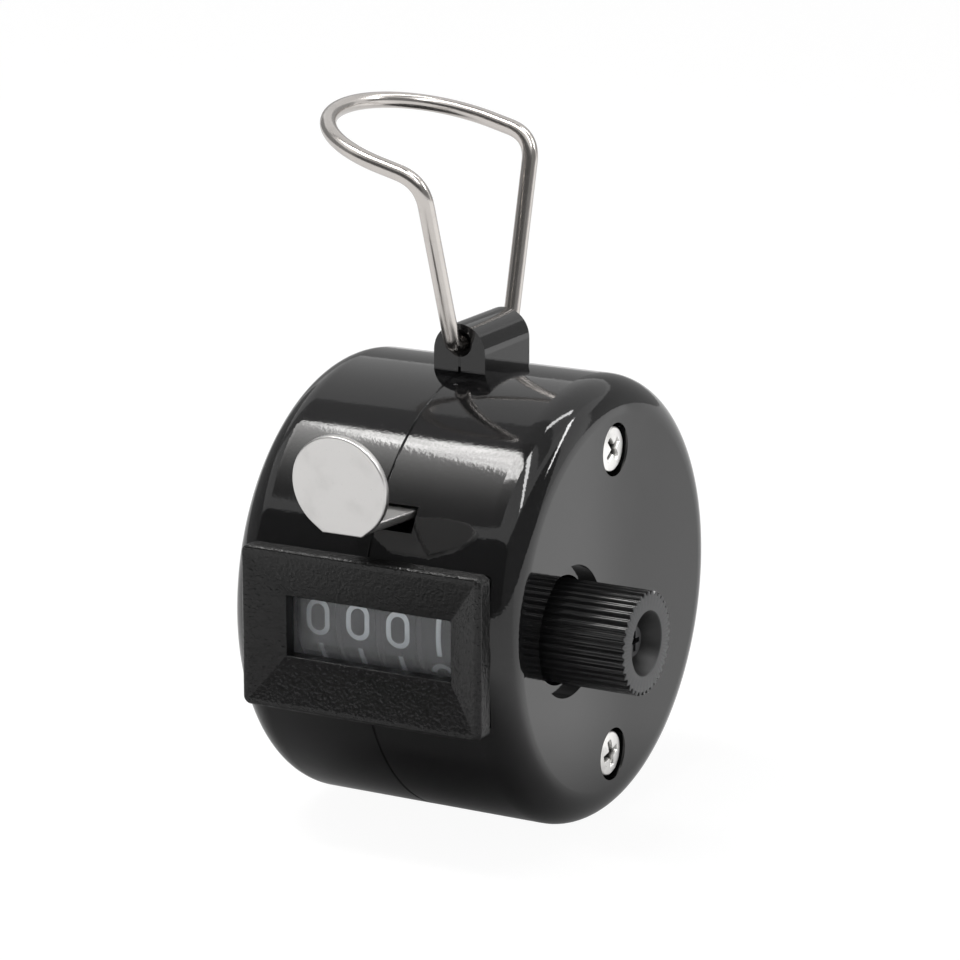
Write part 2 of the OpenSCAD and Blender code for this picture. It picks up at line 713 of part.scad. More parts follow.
module lever_pivot_pin() {
    color([0.7, 0.7, 0.7]) rod_x(left_plate_x - 0.5, right_plate_x + plate_t + 0.15, pivot_p, pivot_r);
}

// Return spring: a leg under the arm, turns round the pivot pin and a leg into the left plate
spring_wire_r = 0.22;
spring_gap = 0.45;
spring_side_gap = 0.6;
spring_r = pivot_r + spring_gap;
spring_turns = 4.5;
spring_pitch = 0.95;
turn_rings = 8;
leg_bend = 0.5;
anchor_reach = 4.4;
spring_right = lever_mid - arm_w / 2 - spring_side_gap;
anchor_p = pivot_p + [anchor_reach, spring_r];
spring_coil = [for (i = [0:spring_turns * turn_rings]) let (a = -90 - 360 * i / turn_rings)
    [spring_right - spring_pitch * i / turn_rings,
        pivot_p[0] + spring_r * cos(a), pivot_p[1] + spring_r * sin(a)]];
spring_left = spring_right - spring_pitch * spring_turns;
hook_side = 1;
hook_reach = 2.8;
hook_gap = 0.3;
hook_x = lever_mid - hook_side;
hook_y = pivot_p[0] - hook_reach;
hook_z = arm_z - sheet - spring_wire_r - hook_gap;
spring_route = concat(
    [[hook_x, hook_y, hook_z]],
    bend([hook_x, hook_y, hook_z], [spring_right, hook_y, hook_z], spring_coil[0], leg_bend, 3),
    spring_coil,
    bend([spring_left, pivot_p[0], anchor_p[1]], [spring_left, anchor_p[0], anchor_p[1]],
        [left_plate_x, anchor_p[0], anchor_p[1]], leg_bend, 3),
    [[left_plate_x + 0.1, anchor_p[0], anchor_p[1]]]);

module lever_return_spring() {
    color([0.6, 0.6, 0.6]) tube(spring_route, spring_wire_r, 6, [0, 0, 1]);
}

module drive_pawl() {
    d = pawl_tip - pawl_p;
    color([0.6, 0.6, 0.62]) along_x(ratchet_x + 0.05, pawl_p) linear_extrude(ratchet_t - 0.1) difference() {
        union() {
            circle(pawl_hub_r);
            rotate(atan2(d[1], d[0]))
                polygon([[0, -0.8 * pawl_hub_r], [norm(d), -0.25], [norm(d), 0.25], [0, 0.8 * pawl_hub_r]]);
        }
        circle(pawl_pin_r + run);
    }
}

module pawl_pin() {
    color([0.7, 0.7, 0.7]) rod_x(ratchet_x, drive_x + sheet + 0.2, pawl_p, pawl_pin_r);
}

// Leaf that keeps the ratchet from running back, curled round the lower spacer
module holding_spring() {
    tip = axis + (ratchet_r + 0.3) * [cos(-50), sin(-50)];
    d = tip - spacer_p[1];
    leaf = 0.3;
    color([0.6, 0.6, 0.62]) along_x(ratchet_x + 0.05) linear_extrude(ratchet_t - 0.1) difference() {
        union() {
            translate(spacer_p[1]) circle(spacer_r + fit + leaf);
            translate(spacer_p[1]) rotate(atan2(d[1], d[0])) translate([spacer_r + fit, -leaf / 2])
                square([norm(d) - spacer_r - fit, leaf]);
        }
        translate(spacer_p[1]) circle(spacer_r + fit);
    }
}

left_shell();
right_shell();
front_bezel();
window_lens();
housing_screws();
finger_ring();
thumb_lever();
lever_pivot_pin();
lever_return_spring();
drive_pawl();
pawl_pin();
holding_spring();
ratchet_wheel();
units_wheel();
tens_wheel();
hundreds_wheel();
thousands_wheel();
carrier_plate_1();
carrier_plate_2();
carrier_plate_3();
transfer_pinion_1();
transfer_pinion_2();
transfer_pinion_3();
carrier_rod();
wheel_shaft();
shaft_clip();
shaft_bush();
reset_knob();
knob_screw();
left_frame_plate();
right_frame_plate();
frame_spacers();
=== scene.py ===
"""Looks of a hand tally counter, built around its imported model.

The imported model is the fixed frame. The wire ring, thumb lever, window frame, reset knob and screws are drawn
again as fine surfaces, the figures are printed on the number wheels, and every other node gets its finish.
Sizes are in millimetres and become metres when a mesh is made.
"""
import json
import logging
import math
from collections.abc import Callable, Sequence
from dataclasses import dataclass, field
from enum import Enum
from typing import Any, Union

import bmesh
import bpy
import numpy as np
from mathutils import Matrix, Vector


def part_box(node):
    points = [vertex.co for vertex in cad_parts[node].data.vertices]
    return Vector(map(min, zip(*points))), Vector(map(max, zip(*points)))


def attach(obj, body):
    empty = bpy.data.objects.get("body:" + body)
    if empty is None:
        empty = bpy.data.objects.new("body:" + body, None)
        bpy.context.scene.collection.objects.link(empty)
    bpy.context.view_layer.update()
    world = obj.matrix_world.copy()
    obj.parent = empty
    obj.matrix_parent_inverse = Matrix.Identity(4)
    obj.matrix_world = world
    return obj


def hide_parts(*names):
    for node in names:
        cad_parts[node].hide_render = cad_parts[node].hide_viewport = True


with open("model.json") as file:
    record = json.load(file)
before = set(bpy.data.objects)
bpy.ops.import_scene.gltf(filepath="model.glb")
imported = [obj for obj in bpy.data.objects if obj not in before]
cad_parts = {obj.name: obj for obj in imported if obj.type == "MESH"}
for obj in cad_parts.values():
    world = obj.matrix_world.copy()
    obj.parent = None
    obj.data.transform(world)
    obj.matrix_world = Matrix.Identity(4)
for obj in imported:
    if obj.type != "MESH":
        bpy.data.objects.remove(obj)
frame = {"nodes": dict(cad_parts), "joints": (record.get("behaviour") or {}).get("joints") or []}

MM = 0.001
FULL_TURN = 2.0 * np.pi
QUARTER_TURN = np.pi / 2.0
MERGE_M = 1e-7
EMPTY_EDGE_M = 1e-8
MIX_COLOUR_A, MIX_COLOUR_B, MIX_COLOUR_RESULT = 6, 7, 2
log = logging.getLogger("tally_counter")

Array = np.ndarray
Triple = tuple[float, float, float]
Colour = Triple
Span = tuple[float, float]
Number = Union[float, "Value"]

EVEN: Triple = (1.0, 1.0, 1.0)
WHITE: Colour = (1.0, 1.0, 1.0)


class Body(Enum):
    """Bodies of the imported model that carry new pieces."""

    HOUSING = "housing"
    RING = "ring"
    LEVER = "lever"
    KNOB = "reset_shaft"
    UNITS = "units"
    TENS = "tens"
    HUNDREDS = "hundreds"
    THOUSANDS = "thousands"


class Ray(Enum):
    """Kinds of rays that a shader tells apart."""

    CAMERA = "Is Camera Ray"
    GLOSSY = "Is Glossy Ray"
    TRANSMISSION = "Is Transmission Ray"


class Value:
    """A shader socket that takes part in Python arithmetic."""

    def __init__(self, shader: "Shader", socket: bpy.types.NodeSocket) -> None:
        """Hold the socket and the shader it belongs to."""
        self.shader = shader
        self.socket = socket

    def _math(self, operation: str, first: Number, second: Number) -> "Value":
        """Add one Math node and return its result."""
        return self.shader.add("ShaderNodeMath", {"operation": operation}, {0: first, 1: second})

    def __add__(self, other: Number) -> "Value":
        """Sum of two values."""
        return self._math("ADD", self, other)

    __radd__ = __add__

    def __sub__(self, other: Number) -> "Value":
        """Difference of two values."""
        return self._math("SUBTRACT", self, other)

    def __rsub__(self, other: Number) -> "Value":
        """Difference with the value on the right."""
        return self._math("SUBTRACT", other, self)

    def __mul__(self, other: Number) -> "Value":
        """Product of two values."""
        return self._math("MULTIPLY", self, other)

    __rmul__ = __mul__

    def larger(self, other: Number) -> "Value":
        """The larger of two values."""
        return self._math("MAXIMUM", self, other)

    def step(self, low: float, high: float) -> "Value":
        """Smooth step from 0 at low to 1 at high.

        Args:
            low: Value at which the step starts.
            high: Value at which the step ends.

        Returns:
            The stepped value.
        """
        settings = {"interpolation_type": "SMOOTHSTEP"}
        return self.shader.add("ShaderNodeMapRange", settings, {0: self, 1: low, 2: high})


class Shader:
    """Node tree of one material or of the world."""

    def __init__(self, owner: Union[bpy.types.Material, bpy.types.World], output: str) -> None:
        """Empty the owner's tree and add its output node.

        Args:
            owner: Material or world whose nodes are made.
            output: Type of the output node.
        """
        owner.use_nodes = True
        self.tree = owner.node_tree
        self.tree.nodes.clear()
        self.output = self.tree.nodes.new(output)

    def add(self, kind: str, settings: dict[str, Any], inputs: dict[Any, Any], out: Any = 0) -> Value:
        """Add a node.

        Args:
            kind: Node type.
            settings: Attributes of the node, set first.
            inputs: Values or links of its sockets, by name or number.
            out: Name or number of the output that is returned.

        Returns:
            The chosen output.
        """
        node = self.tree.nodes.new(kind)
        for name, setting in settings.items():
            setattr(node, name, setting)
        for name, value in inputs.items():
            if isinstance(value, Value):
                self.tree.links.new(value.socket, node.inputs[name])
            else:
                node.inputs[name].default_value = value
        return Value(self, node.outputs[out])

    def finish(self, surface: Value) -> None:
        """Link the surface to the output."""
        self.tree.links.new(surface.socket, self.output.inputs["Surface"])

    def place(self, stretch: Triple = EVEN) -> Value:
        """Object coordinates in millimetres, stretched along the axes.

        Args:
            stretch: Factor on each axis; a small one draws a pattern out along that axis.

        Returns:
            The vector.
        """
        coords = self.add("ShaderNodeTexCoord", {}, {}, "Object")
        factors = tuple(share / MM for share in stretch)
        return self.add("ShaderNodeVectorMath", {"operation": "MULTIPLY"}, {0: coords, 1: factors})

    def axis(self, name: str) -> Value:
        """One object coordinate in millimetres, X, Y or Z."""
        return self.add("ShaderNodeSeparateXYZ", {}, {0: self.place()}, name)

    def away(self, place: Value, point: Triple) -> Value:
        """Distance of a place from a point."""
        return self.add("ShaderNodeVectorMath", {"operation": "DISTANCE"}, {0: place, 1: point}, "Value")

    def ray(self, kind: Ray) -> Value:
        """Mask of one kind of ray."""
        return self.add("ShaderNodeLightPath", {}, {}, kind.value)

    def seen(self) -> Value:
        """Mask of camera, glossy and transmission rays."""
        camera, glossy, through = (self.ray(kind) for kind in Ray)
        return camera.larger(glossy).larger(through)

    def noise(self, where: Value, size: float, detail: float, out: Any = 0) -> Value:
        """Noise from 0 to 1.

        Args:
            where: Coordinates in millimetres.
            size: Length of its largest features in millimetres.
            detail: Octaves of finer noise.
            out: Output to return: the plain noise, or its colour.

        Returns:
            The noise.
        """
        inputs = {"Vector": where, "Scale": 1.0 / size, "Detail": detail}
        return self.add("ShaderNodeTexNoise", {}, inputs, out)

    def cells(self, where: Value, size: float) -> Value:
        """Soft distances in a cell pattern whose cells are about the given size in millimetres."""
        inputs = {"Vector": where, "Scale": 1.0 / size}
        return self.add("ShaderNodeTexVoronoi", {"feature": "SMOOTH_F1"}, inputs)

    def blend(self, factor: Number, first: Any, second: Any) -> Value:
        """Mix two colours by a factor."""
        inputs = {0: factor, MIX_COLOUR_A: opaque(first), MIX_COLOUR_B: opaque(second)}
        return self.add("ShaderNodeMix", {"data_type": "RGBA"}, inputs, MIX_COLOUR_RESULT)

    def layer(self, factor: Number, first: Value, second: Value) -> Value:
        """Mix two surfaces by a factor."""
        return self.add("ShaderNodeMixShader", {}, {0: factor, 1: first, 2: second})

    def glow(self, colour: Any, strength: float) -> Value:
        """Surface that gives off a colour."""
        return self.add("ShaderNodeEmission", {}, {"Color": opaque(colour), "Strength": strength})

    def bump(self, height: Value) -> Value:
        """Normal of a surface raised by a height in millimetres."""
        return self.add("ShaderNodeBump", {}, {"Height": height, "Distance": MM, "Strength": 1.0}, "Normal")

    def principled(self, inputs: dict[str, Any]) -> None:
        """Finish the tree with one principled surface."""
        self.finish(self.add("ShaderNodeBsdfPrincipled", {}, inputs))


def opaque(colour: Any) -> Any:
    """A colour with full alpha; sockets pass through."""
    return colour if isinstance(colour, Value) else (*colour, 1.0)


def scaled(colour: Colour, factor: float, lift: float = 0.0) -> Colour:
    """A colour times a factor, plus a lift."""
    return tuple(channel * factor + lift for channel in colour)


def grey(level: float) -> Colour:
    """Neutral colour of one level."""
    return (level, level, level)


def new_shader(name: str) -> tuple[bpy.types.Material, Shader]:
    """Make a material with an empty tree."""
    material = bpy.data.materials.new(name)
    return material, Shader(material, "ShaderNodeOutputMaterial")


@dataclass(frozen=True)
class Marks:
    """Scattered marks: noise of a size, shown between two levels, with weights in tone and roughness."""

    size: float
    detail: float
    levels: Span
    tone: float = 1.0
    rough: float = 0.0

    def mask(self, shader: Shader) -> Value:
        """Mask of the marks, from 0 to 1."""
        return shader.noise(shader.place(), self.size, self.detail).step(*self.levels)


@dataclass(frozen=True)
class Relief:
    """Raised pattern: noise of a size, its height, and the factors that draw it out along the axes."""

    size: float
    height: float
    detail: float = 2.0
    stretch: Triple = EVEN

    def level(self, shader: Shader) -> Value:
        """The pattern from 0 to 1, before its height."""
        return shader.noise(shader.place(self.stretch), self.size, self.detail)


@dataclass(frozen=True)
class Finish:
    """A named finish; each kind fills a node tree in its own way."""

    name: str

    def shade(self, shader: Shader) -> None:
        """Fill the empty tree."""
        raise NotImplementedError

    def material(self) -> bpy.types.Material:
        """Make the material.

        Returns:
            The material with its nodes.
        """
        material, shader = new_shader(self.name)
        self.shade(shader)
        return material


@dataclass(frozen=True)
class GlossPlastic(Finish):
    """Polished moulded plastic with a faint ripple, fine polishing lines along X and a parting line."""

    colour: Colour
    seam_x: float
    roughness: float = 0.05
    ior: float = 1.5
    ripple: Relief = Relief(5.0, 0.0035)
    lines: Relief = Relief(0.55, 0.001, 3.0, (0.06, 1.0, 1.0))
    peel: Relief = Relief(0.3, 0.0036, 1.0)
    groove: float = 0.02
    groove_reach: Span = (0.001, 0.01)
    smudge: Marks = Marks(7.0, 4.0, (0.45, 0.75), 0.2, 0.05)
    dust: Marks = Marks(0.09, 0.0, (0.79, 0.83), 0.5, 0.2)
    pale_share: float = 1.6
    pale_lift: float = 0.004

    def shade(self, shader: Shader) -> None:
        """Fill the tree: the groove is 1 within a hair of the parting plane, by the squared distance from it.

        Args:
            shader: Empty tree of the material.
        """
        reliefs = (self.ripple, self.lines, self.peel)
        broad, lines, peel = (relief.level(shader) * relief.height for relief in reliefs)
        smudge, dust = self.smudge.mask(shader), self.dust.mask(shader)
        off = shader.axis("X") - self.seam_x
        groove = 1.0 - (off * off).step(*self.groove_reach)
        dirt = dust * self.dust.tone + smudge * self.smudge.tone
        pale = scaled(self.colour, self.pale_share, self.pale_lift)
        shader.principled({
            "Base Color": shader.blend(dirt, self.colour, pale),
            "Roughness": smudge * self.smudge.rough + dust * self.dust.rough + self.roughness,
            "Normal": shader.bump(broad + lines + peel - groove * self.groove),
            "IOR": self.ior,
        })


@dataclass(frozen=True)
class GrainedPlastic(Finish):
    """Matte moulded plastic with a leather grain whose creases carry painted shade."""

    colour: Colour
    roughness: float = 0.2
    ior: float = 1.4
    grain: float = 0.28
    depth: float = 0.07
    fine: Relief = Relief(0.12, 0.0245, 3.0)
    fine_rough: float = 0.1
    warp_size: float = 1.0 / 2.2
    warp_detail: float = 2.0
    warp: float = 0.5
    # Levels at which the painted crease shade sets in, and the share of painted light on the hilltops.
    crease_shade_levels: Span = (0.35, 0.8)
    hilltop_light_share: float = 1.5

    def shade(self, shader: Shader) -> None:
        """Fill the tree: a cell pattern whose places are pushed about by noise, with painted shade in the
        creases.

        Args:
            shader: Empty tree of the material.
        """
        push = shader.noise(shader.place(), self.warp_size, self.warp_detail, "Color")
        inputs = {0: push, 1: grey(self.warp), 2: shader.place()}
        where = shader.add("ShaderNodeVectorMath", {"operation": "MULTIPLY_ADD"}, inputs)
        hills = shader.cells(where, self.grain)
        fine = self.fine.level(shader)
        height = hills * self.depth + fine * self.fine.height
        # Painted light on the grain's hilltops and painted shade in its creases.
        lit_hilltop_colour = scaled(self.colour, self.hilltop_light_share)
        shader.principled({
            "Base Color": shader.blend(hills.step(*self.crease_shade_levels), lit_hilltop_colour, self.colour),
            "Roughness": fine * self.fine_rough + self.roughness,
            "Normal": shader.bump(0.0 - height),
            "IOR": self.ior,
        })


@dataclass(frozen=True)
class PlatedMetal(Finish):
    """Nickel-plated metal with fine drawn lines, small pits, slight stains and painted shade in recesses."""

    colour: Colour
    roughness: float
    lines: Relief = Relief(0.4, 0.0008, 3.0)
    line_rough: float = 0.08
    stain: Marks = Marks(3.0, 4.0, (0.5, 0.8), 0.35, 0.05)
    pits: Marks = Marks(0.13, 0.0, (0.78, 0.84), 0.5)
    pit_depth: float = 2.0
    dark_share: float = 0.72
    # Name of the point attribute that paints shade into recesses, and the tone of that painted shade.
    recess: str = ""
    recess_shade_share: float = 0.1

    def shade(self, shader: Shader) -> None:
        """Fill the tree; a named point attribute paints shade into recesses, and pits are a few lines deep.

        Args:
            shader: Empty tree of the material.
        """
        drawn = self.lines.level(shader)
        stain, pits = self.stain.mask(shader), self.pits.mask(shader)
        dark = scaled(self.colour, self.dark_share)
        dirt = stain * self.stain.tone + pits * self.pits.tone
        # Painted shade: the recess attribute darkens the metal where the cross is deep.
        if self.recess:
            inside = shader.add("ShaderNodeAttribute", {"attribute_name": self.recess}, {}, "Fac")
            dirt = dirt.larger(inside)
            dark = scaled(self.colour, self.recess_shade_share)
        height = drawn * self.lines.height - pits * (self.lines.height * self.pit_depth)
        shader.principled({
            "Base Color": shader.blend(dirt, self.colour, dark),
            "Metallic": 1.0,
            "Roughness": drawn * self.line_rough + stain * self.stain.rough + self.roughness,
            "Normal": shader.bump(height),
        })


@dataclass(frozen=True)
class PlainMetal(Finish):
    """Stamped or turned metal of the movement, with rolling lines and dull patches."""

    colour: Colour
    roughness: float = 0.3
    metallic: float = 1.0
    lines: Relief = Relief(0.35, 0.0015, 3.0, (1.0, 1.0, 0.08))
    line_rough: float = 0.15
    dull: Marks = Marks(2.5, 4.0, (0.4, 0.75), 0.6, 0.12)
    dark_share: float = 0.7

    def shade(self, shader: Shader) -> None:
        """Fill the tree.

        Args:
            shader: Empty tree of the material.
        """
        rolled = self.lines.level(shader)
        dull = self.dull.mask(shader)
        dark = scaled(self.colour, self.dark_share)
        shader.principled({
            "Base Color": shader.blend(dull * self.dull.tone, self.colour, dark),
            "Metallic": self.metallic,
            "Roughness": rolled * self.line_rough + dull * self.dull.rough + self.roughness,
            "Normal": shader.bump(rolled * self.lines.height),
        })


@dataclass(frozen=True)
class MattePlastic(Finish):
    """Plain moulded plastic with faint mottling, as on the number wheels and pinions."""

    colour: Colour
    roughness: float = 0.5
    mottle: float = 0.25
    shine: float = 0.5
    patches: Marks = Marks(1.8, 4.0, (0.3, 0.7))
    grain: Relief = Relief(0.15, 0.004)
    grain_rough: float = 0.15

    def shade(self, shader: Shader) -> None:
        """Fill the tree: patches run from a darker to a paler tone.

        Args:
            shader: Empty tree of the material.
        """
        patches = self.patches.mask(shader)
        grain = self.grain.level(shader)
        dark, pale = (scaled(self.colour, 1.0 + side * self.mottle) for side in (-1, 1))
        shader.principled({
            "Base Color": shader.blend(patches, dark, pale),
            "Roughness": grain * self.grain_rough + self.roughness,
            "Normal": shader.bump(grain * self.grain.height),
            "Specular IOR Level": self.shine,
        })


@dataclass(frozen=True)
class KnobPlastic(Finish):
    """Glossy ridged plastic whose end face and hollow are matte from the mould."""

    colour: Colour
    end_x: float
    axis_y: float
    axis_z: float
    hollow_r: float
    end_colour: Colour = (0.052, 0.053, 0.055)
    hollow_edge: float = 0.1
    end_reach: Span = (0.12, 0.03)
    roughness: float = 0.12
    matte_rough: float = 0.3
    scuff: Relief = Relief(0.3, 0.0015, 3.0, (0.15, 1.0, 1.0))
    scuff_rough: float = 0.12
    grain: Relief = Relief(0.12, 0.006)

    def shade(self, shader: Shader) -> None:
        """Fill the tree: it is matte within a hair of the end face and inside the hollow's radius.

        Args:
            shader: Empty tree of the material.
        """
        away = shader.away(shader.place((0.0, 1.0, 1.0)), (0.0, self.axis_y, self.axis_z))
        hollow = 1.0 - away.step(self.hollow_r, self.hollow_r + self.hollow_edge)
        end = shader.axis("X").step(*(self.end_x - reach for reach in self.end_reach))
        matte = hollow.larger(end)
        scuff, grain = self.scuff.level(shader), self.grain.level(shader)
        shader.principled({
            "Base Color": shader.blend(end, self.colour, self.end_colour),
            "Roughness": matte * self.matte_rough + scuff * self.scuff_rough + self.roughness,
            "Normal": shader.bump(scuff * self.scuff.height + grain * matte * self.grain.height),
        })


@dataclass(frozen=True)
class ClearLens(Finish):
    """Clear plastic sheet: seen through, with a surface reflection and a grey veil of fine scratches."""

    tint: Colour = (0.97, 0.98, 0.985)
    haze: Colour = (0.6, 0.61, 0.63)
    gloss_rough: float = 0.04
    ior: float = 1.3
    veil: float = 0.078
    smear: Marks = Marks(2.5, 3.0, (0.4, 0.8), 0.02)

    def shade(self, shader: Shader) -> None:
        """Fill the tree: transparent, with a reflection that grows at grazing angles, under the veil.

        Args:
            shader: Empty tree of the material.
        """
        clear = shader.add("ShaderNodeBsdfTransparent", {}, {"Color": opaque(self.tint)})
        shine = {"Color": opaque(WHITE), "Roughness": self.gloss_rough}
        gloss = shader.add("ShaderNodeBsdfGlossy", {}, shine)
        haze = shader.add("ShaderNodeBsdfDiffuse", {}, {"Color": opaque(self.haze)})
        sheet = shader.layer(shader.add("ShaderNodeFresnel", {}, {"IOR": self.ior}), clear, gloss)
        shader.finish(shader.layer(self.smear.mask(shader) * self.smear.tone + self.veil, sheet, haze))


class Surface:
    """Grids of points gathered into one mesh."""

    def __init__(self) -> None:
        """Start with nothing."""
        self.points: list[Array] = []
        self.quads: list[Array] = []
        self.count = 0

    def grid(self, points: Array, close_u: bool = False, close_v: bool = False) -> None:
        """Add a grid as quads.

        Args:
            points: Array of shape (u, v, 3) in millimetres.
            close_u: Join the last row to the first.
            close_v: Join the last column to the first.
        """
        rows, columns = points.shape[:2]
        index = np.arange(rows * columns).reshape(rows, columns) + self.count
        if close_u:
            index = np.concatenate([index, index[:1]], axis=0)
        if close_v:
            index = np.concatenate([index, index[:, :1]], axis=1)
        corners = [index[:-1, :-1], index[1:, :-1], index[1:, 1:], index[:-1, 1:]]
        self.quads.append(np.stack(corners, axis=-1).reshape(-1, 4))
        self.points.append(points.reshape(-1, 3))
        self.count += rows * columns

    def cap(self, ring: Array) -> None:
        """Close a ring of points with a fan to its middle."""
        middle = np.broadcast_to(ring.mean(axis=0), ring.shape)
        self.grid(np.stack([ring, middle]), close_v=True)

    def tube(self, rings: Array) -> None:
        """Add closed rings one after the other, with both ends capped.

        Args:
            rings: Array of shape (rings, points, 3) in millimetres.
        """
        self.grid(rings, close_v=True)
        self.cap(rings[0])
        self.cap(rings[-1])

    def prism(self, outline: Array, start_x: float, end_x: float) -> None:
        """Add a plate square to X: an outline carried from one place to another, with both ends closed.

        Args:
            outline: Points (y, z).
            start_x: Place of its left face.
            end_x: Place of its right face.
        """
        ends = [np.column_stack([np.full(len(outline), x), outline]) for x in (start_x, end_x)]
        self.tube(np.stack(ends))

    def build(self, name: str, sharp_deg: float = 35.0) -> bpy.types.Object:
        """Make the object: doubles merged, normals outward, smooth but for sharp edges.

        Args:
            name: Name of the piece.
            sharp_deg: Angle above which an edge is shaded sharp.

        Returns:
            The object, at the origin, with its place in its mesh.
        """
        mesh = bpy.data.meshes.new(name)
        mesh.from_pydata((np.concatenate(self.points) * MM).tolist(), [], np.concatenate(self.quads).tolist())
        cleaned = bmesh.new()
        cleaned.from_mesh(mesh)
        bmesh.ops.remove_doubles(cleaned, verts=cleaned.verts, dist=MERGE_M)
        bmesh.ops.dissolve_degenerate(cleaned, edges=cleaned.edges, dist=EMPTY_EDGE_M)
        bmesh.ops.recalc_face_normals(cleaned, faces=cleaned.faces)
        cleaned.to_mesh(mesh)
        cleaned.free()
        mesh.polygons.foreach_set("use_smooth", np.ones(len(mesh.polygons), dtype=bool))
        mesh.set_sharp_from_angle(angle=math.radians(sharp_deg))
        piece = bpy.data.objects.new(name, mesh)
        bpy.context.scene.collection.objects.link(piece)
        return piece


def mark(piece: bpy.types.Object, name: str, formula: Callable[[Array], Array]) -> None:
    """Store a point attribute worked out from the points in millimetres.

    Args:
        piece: Mesh object.
        name: Name of the attribute.
        formula: Function from an array of points to one value each.
    """
    count = len(piece.data.vertices)
    points = np.empty(count * 3, dtype=np.float32)
    piece.data.vertices.foreach_get("co", points)
    values = formula(points.reshape(-1, 3) / MM)
    layer = piece.data.attributes.new(name, "FLOAT", "POINT")
    layer.data.foreach_set("value", values.astype(np.float32))


def dress(piece: bpy.types.Object, material: bpy.types.Material) -> None:
    """Give a piece one material."""
    piece.data.materials.clear()
    piece.data.materials.append(material)


def install(
    piece: bpy.types.Object, body: Body, slot: str, material: bpy.types.Material, *nodes: str
) -> None:
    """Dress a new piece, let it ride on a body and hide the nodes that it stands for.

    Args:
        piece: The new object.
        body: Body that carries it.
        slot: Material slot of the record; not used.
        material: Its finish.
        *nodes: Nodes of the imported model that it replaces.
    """
    dress(piece, material)
    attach(piece, body.value)
    if nodes:
        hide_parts(*nodes)
    log.info("%s rides on %s with %d faces", piece.name, body.value, len(piece.data.polygons))


def joint_place(name: str) -> Array:
    """A joint's place in millimetres."""
    found = next(joint for joint in frame["joints"] if joint["name"] == name)
    return np.array(found["pos_m"]) / MM


def in_mm(box: Any) -> tuple[Array, Array]:
    """A box's lowest and highest corner in millimetres."""
    low, high = box
    return np.array(low) / MM, np.array(high) / MM


def unit(vectors: Array) -> Array:
    """Vectors scaled to length 1 along the last axis."""
    return vectors / np.linalg.norm(vectors, axis=-1, keepdims=True)


def on_circle(turn: Array) -> Array:
    """Points (cosine, sine) of the unit circle, along a new last axis."""
    return np.stack([np.cos(turn), np.sin(turn)], axis=-1)


def bend(before: Array, corner: Array, after: Array, cut: float, steps: int = 16) -> Array:
    """Rounded corner: a quadratic curve between points at the cut distance on both legs.

    Args:
        before: Point on the leg that comes in.
        corner: Point where the legs would meet.
        after: Point on the leg that goes out.
        cut: Distance from the corner at which the curve starts and ends.
        steps: Number of points.

    Returns:
        Points of the curve.
    """
    first = corner + cut * unit(before - corner)
    last = corner + cut * unit(after - corner)
    share = np.linspace(0.0, 1.0, steps)[:, None]
    return (1 - share) ** 2 * first + 2 * share * (1 - share) * corner + share ** 2 * last


def even_steps(route: Array, spacing: float) -> Array:
    """Points at even spacing along a route, by its running length.

    Args:
        route: Points of the route.
        spacing: Greatest distance between two new points.

    Returns:
        The new points, with both ends kept.
    """
    run = np.concatenate([[0.0], np.cumsum(np.linalg.norm(np.diff(route, axis=0), axis=1))])
    stops = np.linspace(0.0, run[-1], int(run[-1] / spacing) + 2)
    return np.stack([np.interp(stops, run, column) for column in route.T], axis=1)


def wire(surface: Surface, route: Array, radius: float, around: int, side: Array) -> None:
    """Round wire: a circle square to the route's direction, carried along it, with flat ends.

    Args:
        surface: Surface that gets the wire.
        route: Points of its middle line.
        radius: Radius of the wire.
        around: Points round the circle.
        side: Direction that is never along the route, from which the circle is started.
    """
    heading = unit(np.gradient(route, axis=0))
    first = unit(side - (heading @ side)[:, None] * heading)
    second = np.cross(heading, first)
    turn = np.linspace(0.0, FULL_TURN, around, endpoint=False)[None, :, None]
    surface.tube(route[:, None] + radius * (np.cos(turn) * first[:, None] + np.sin(turn) * second[:, None]))


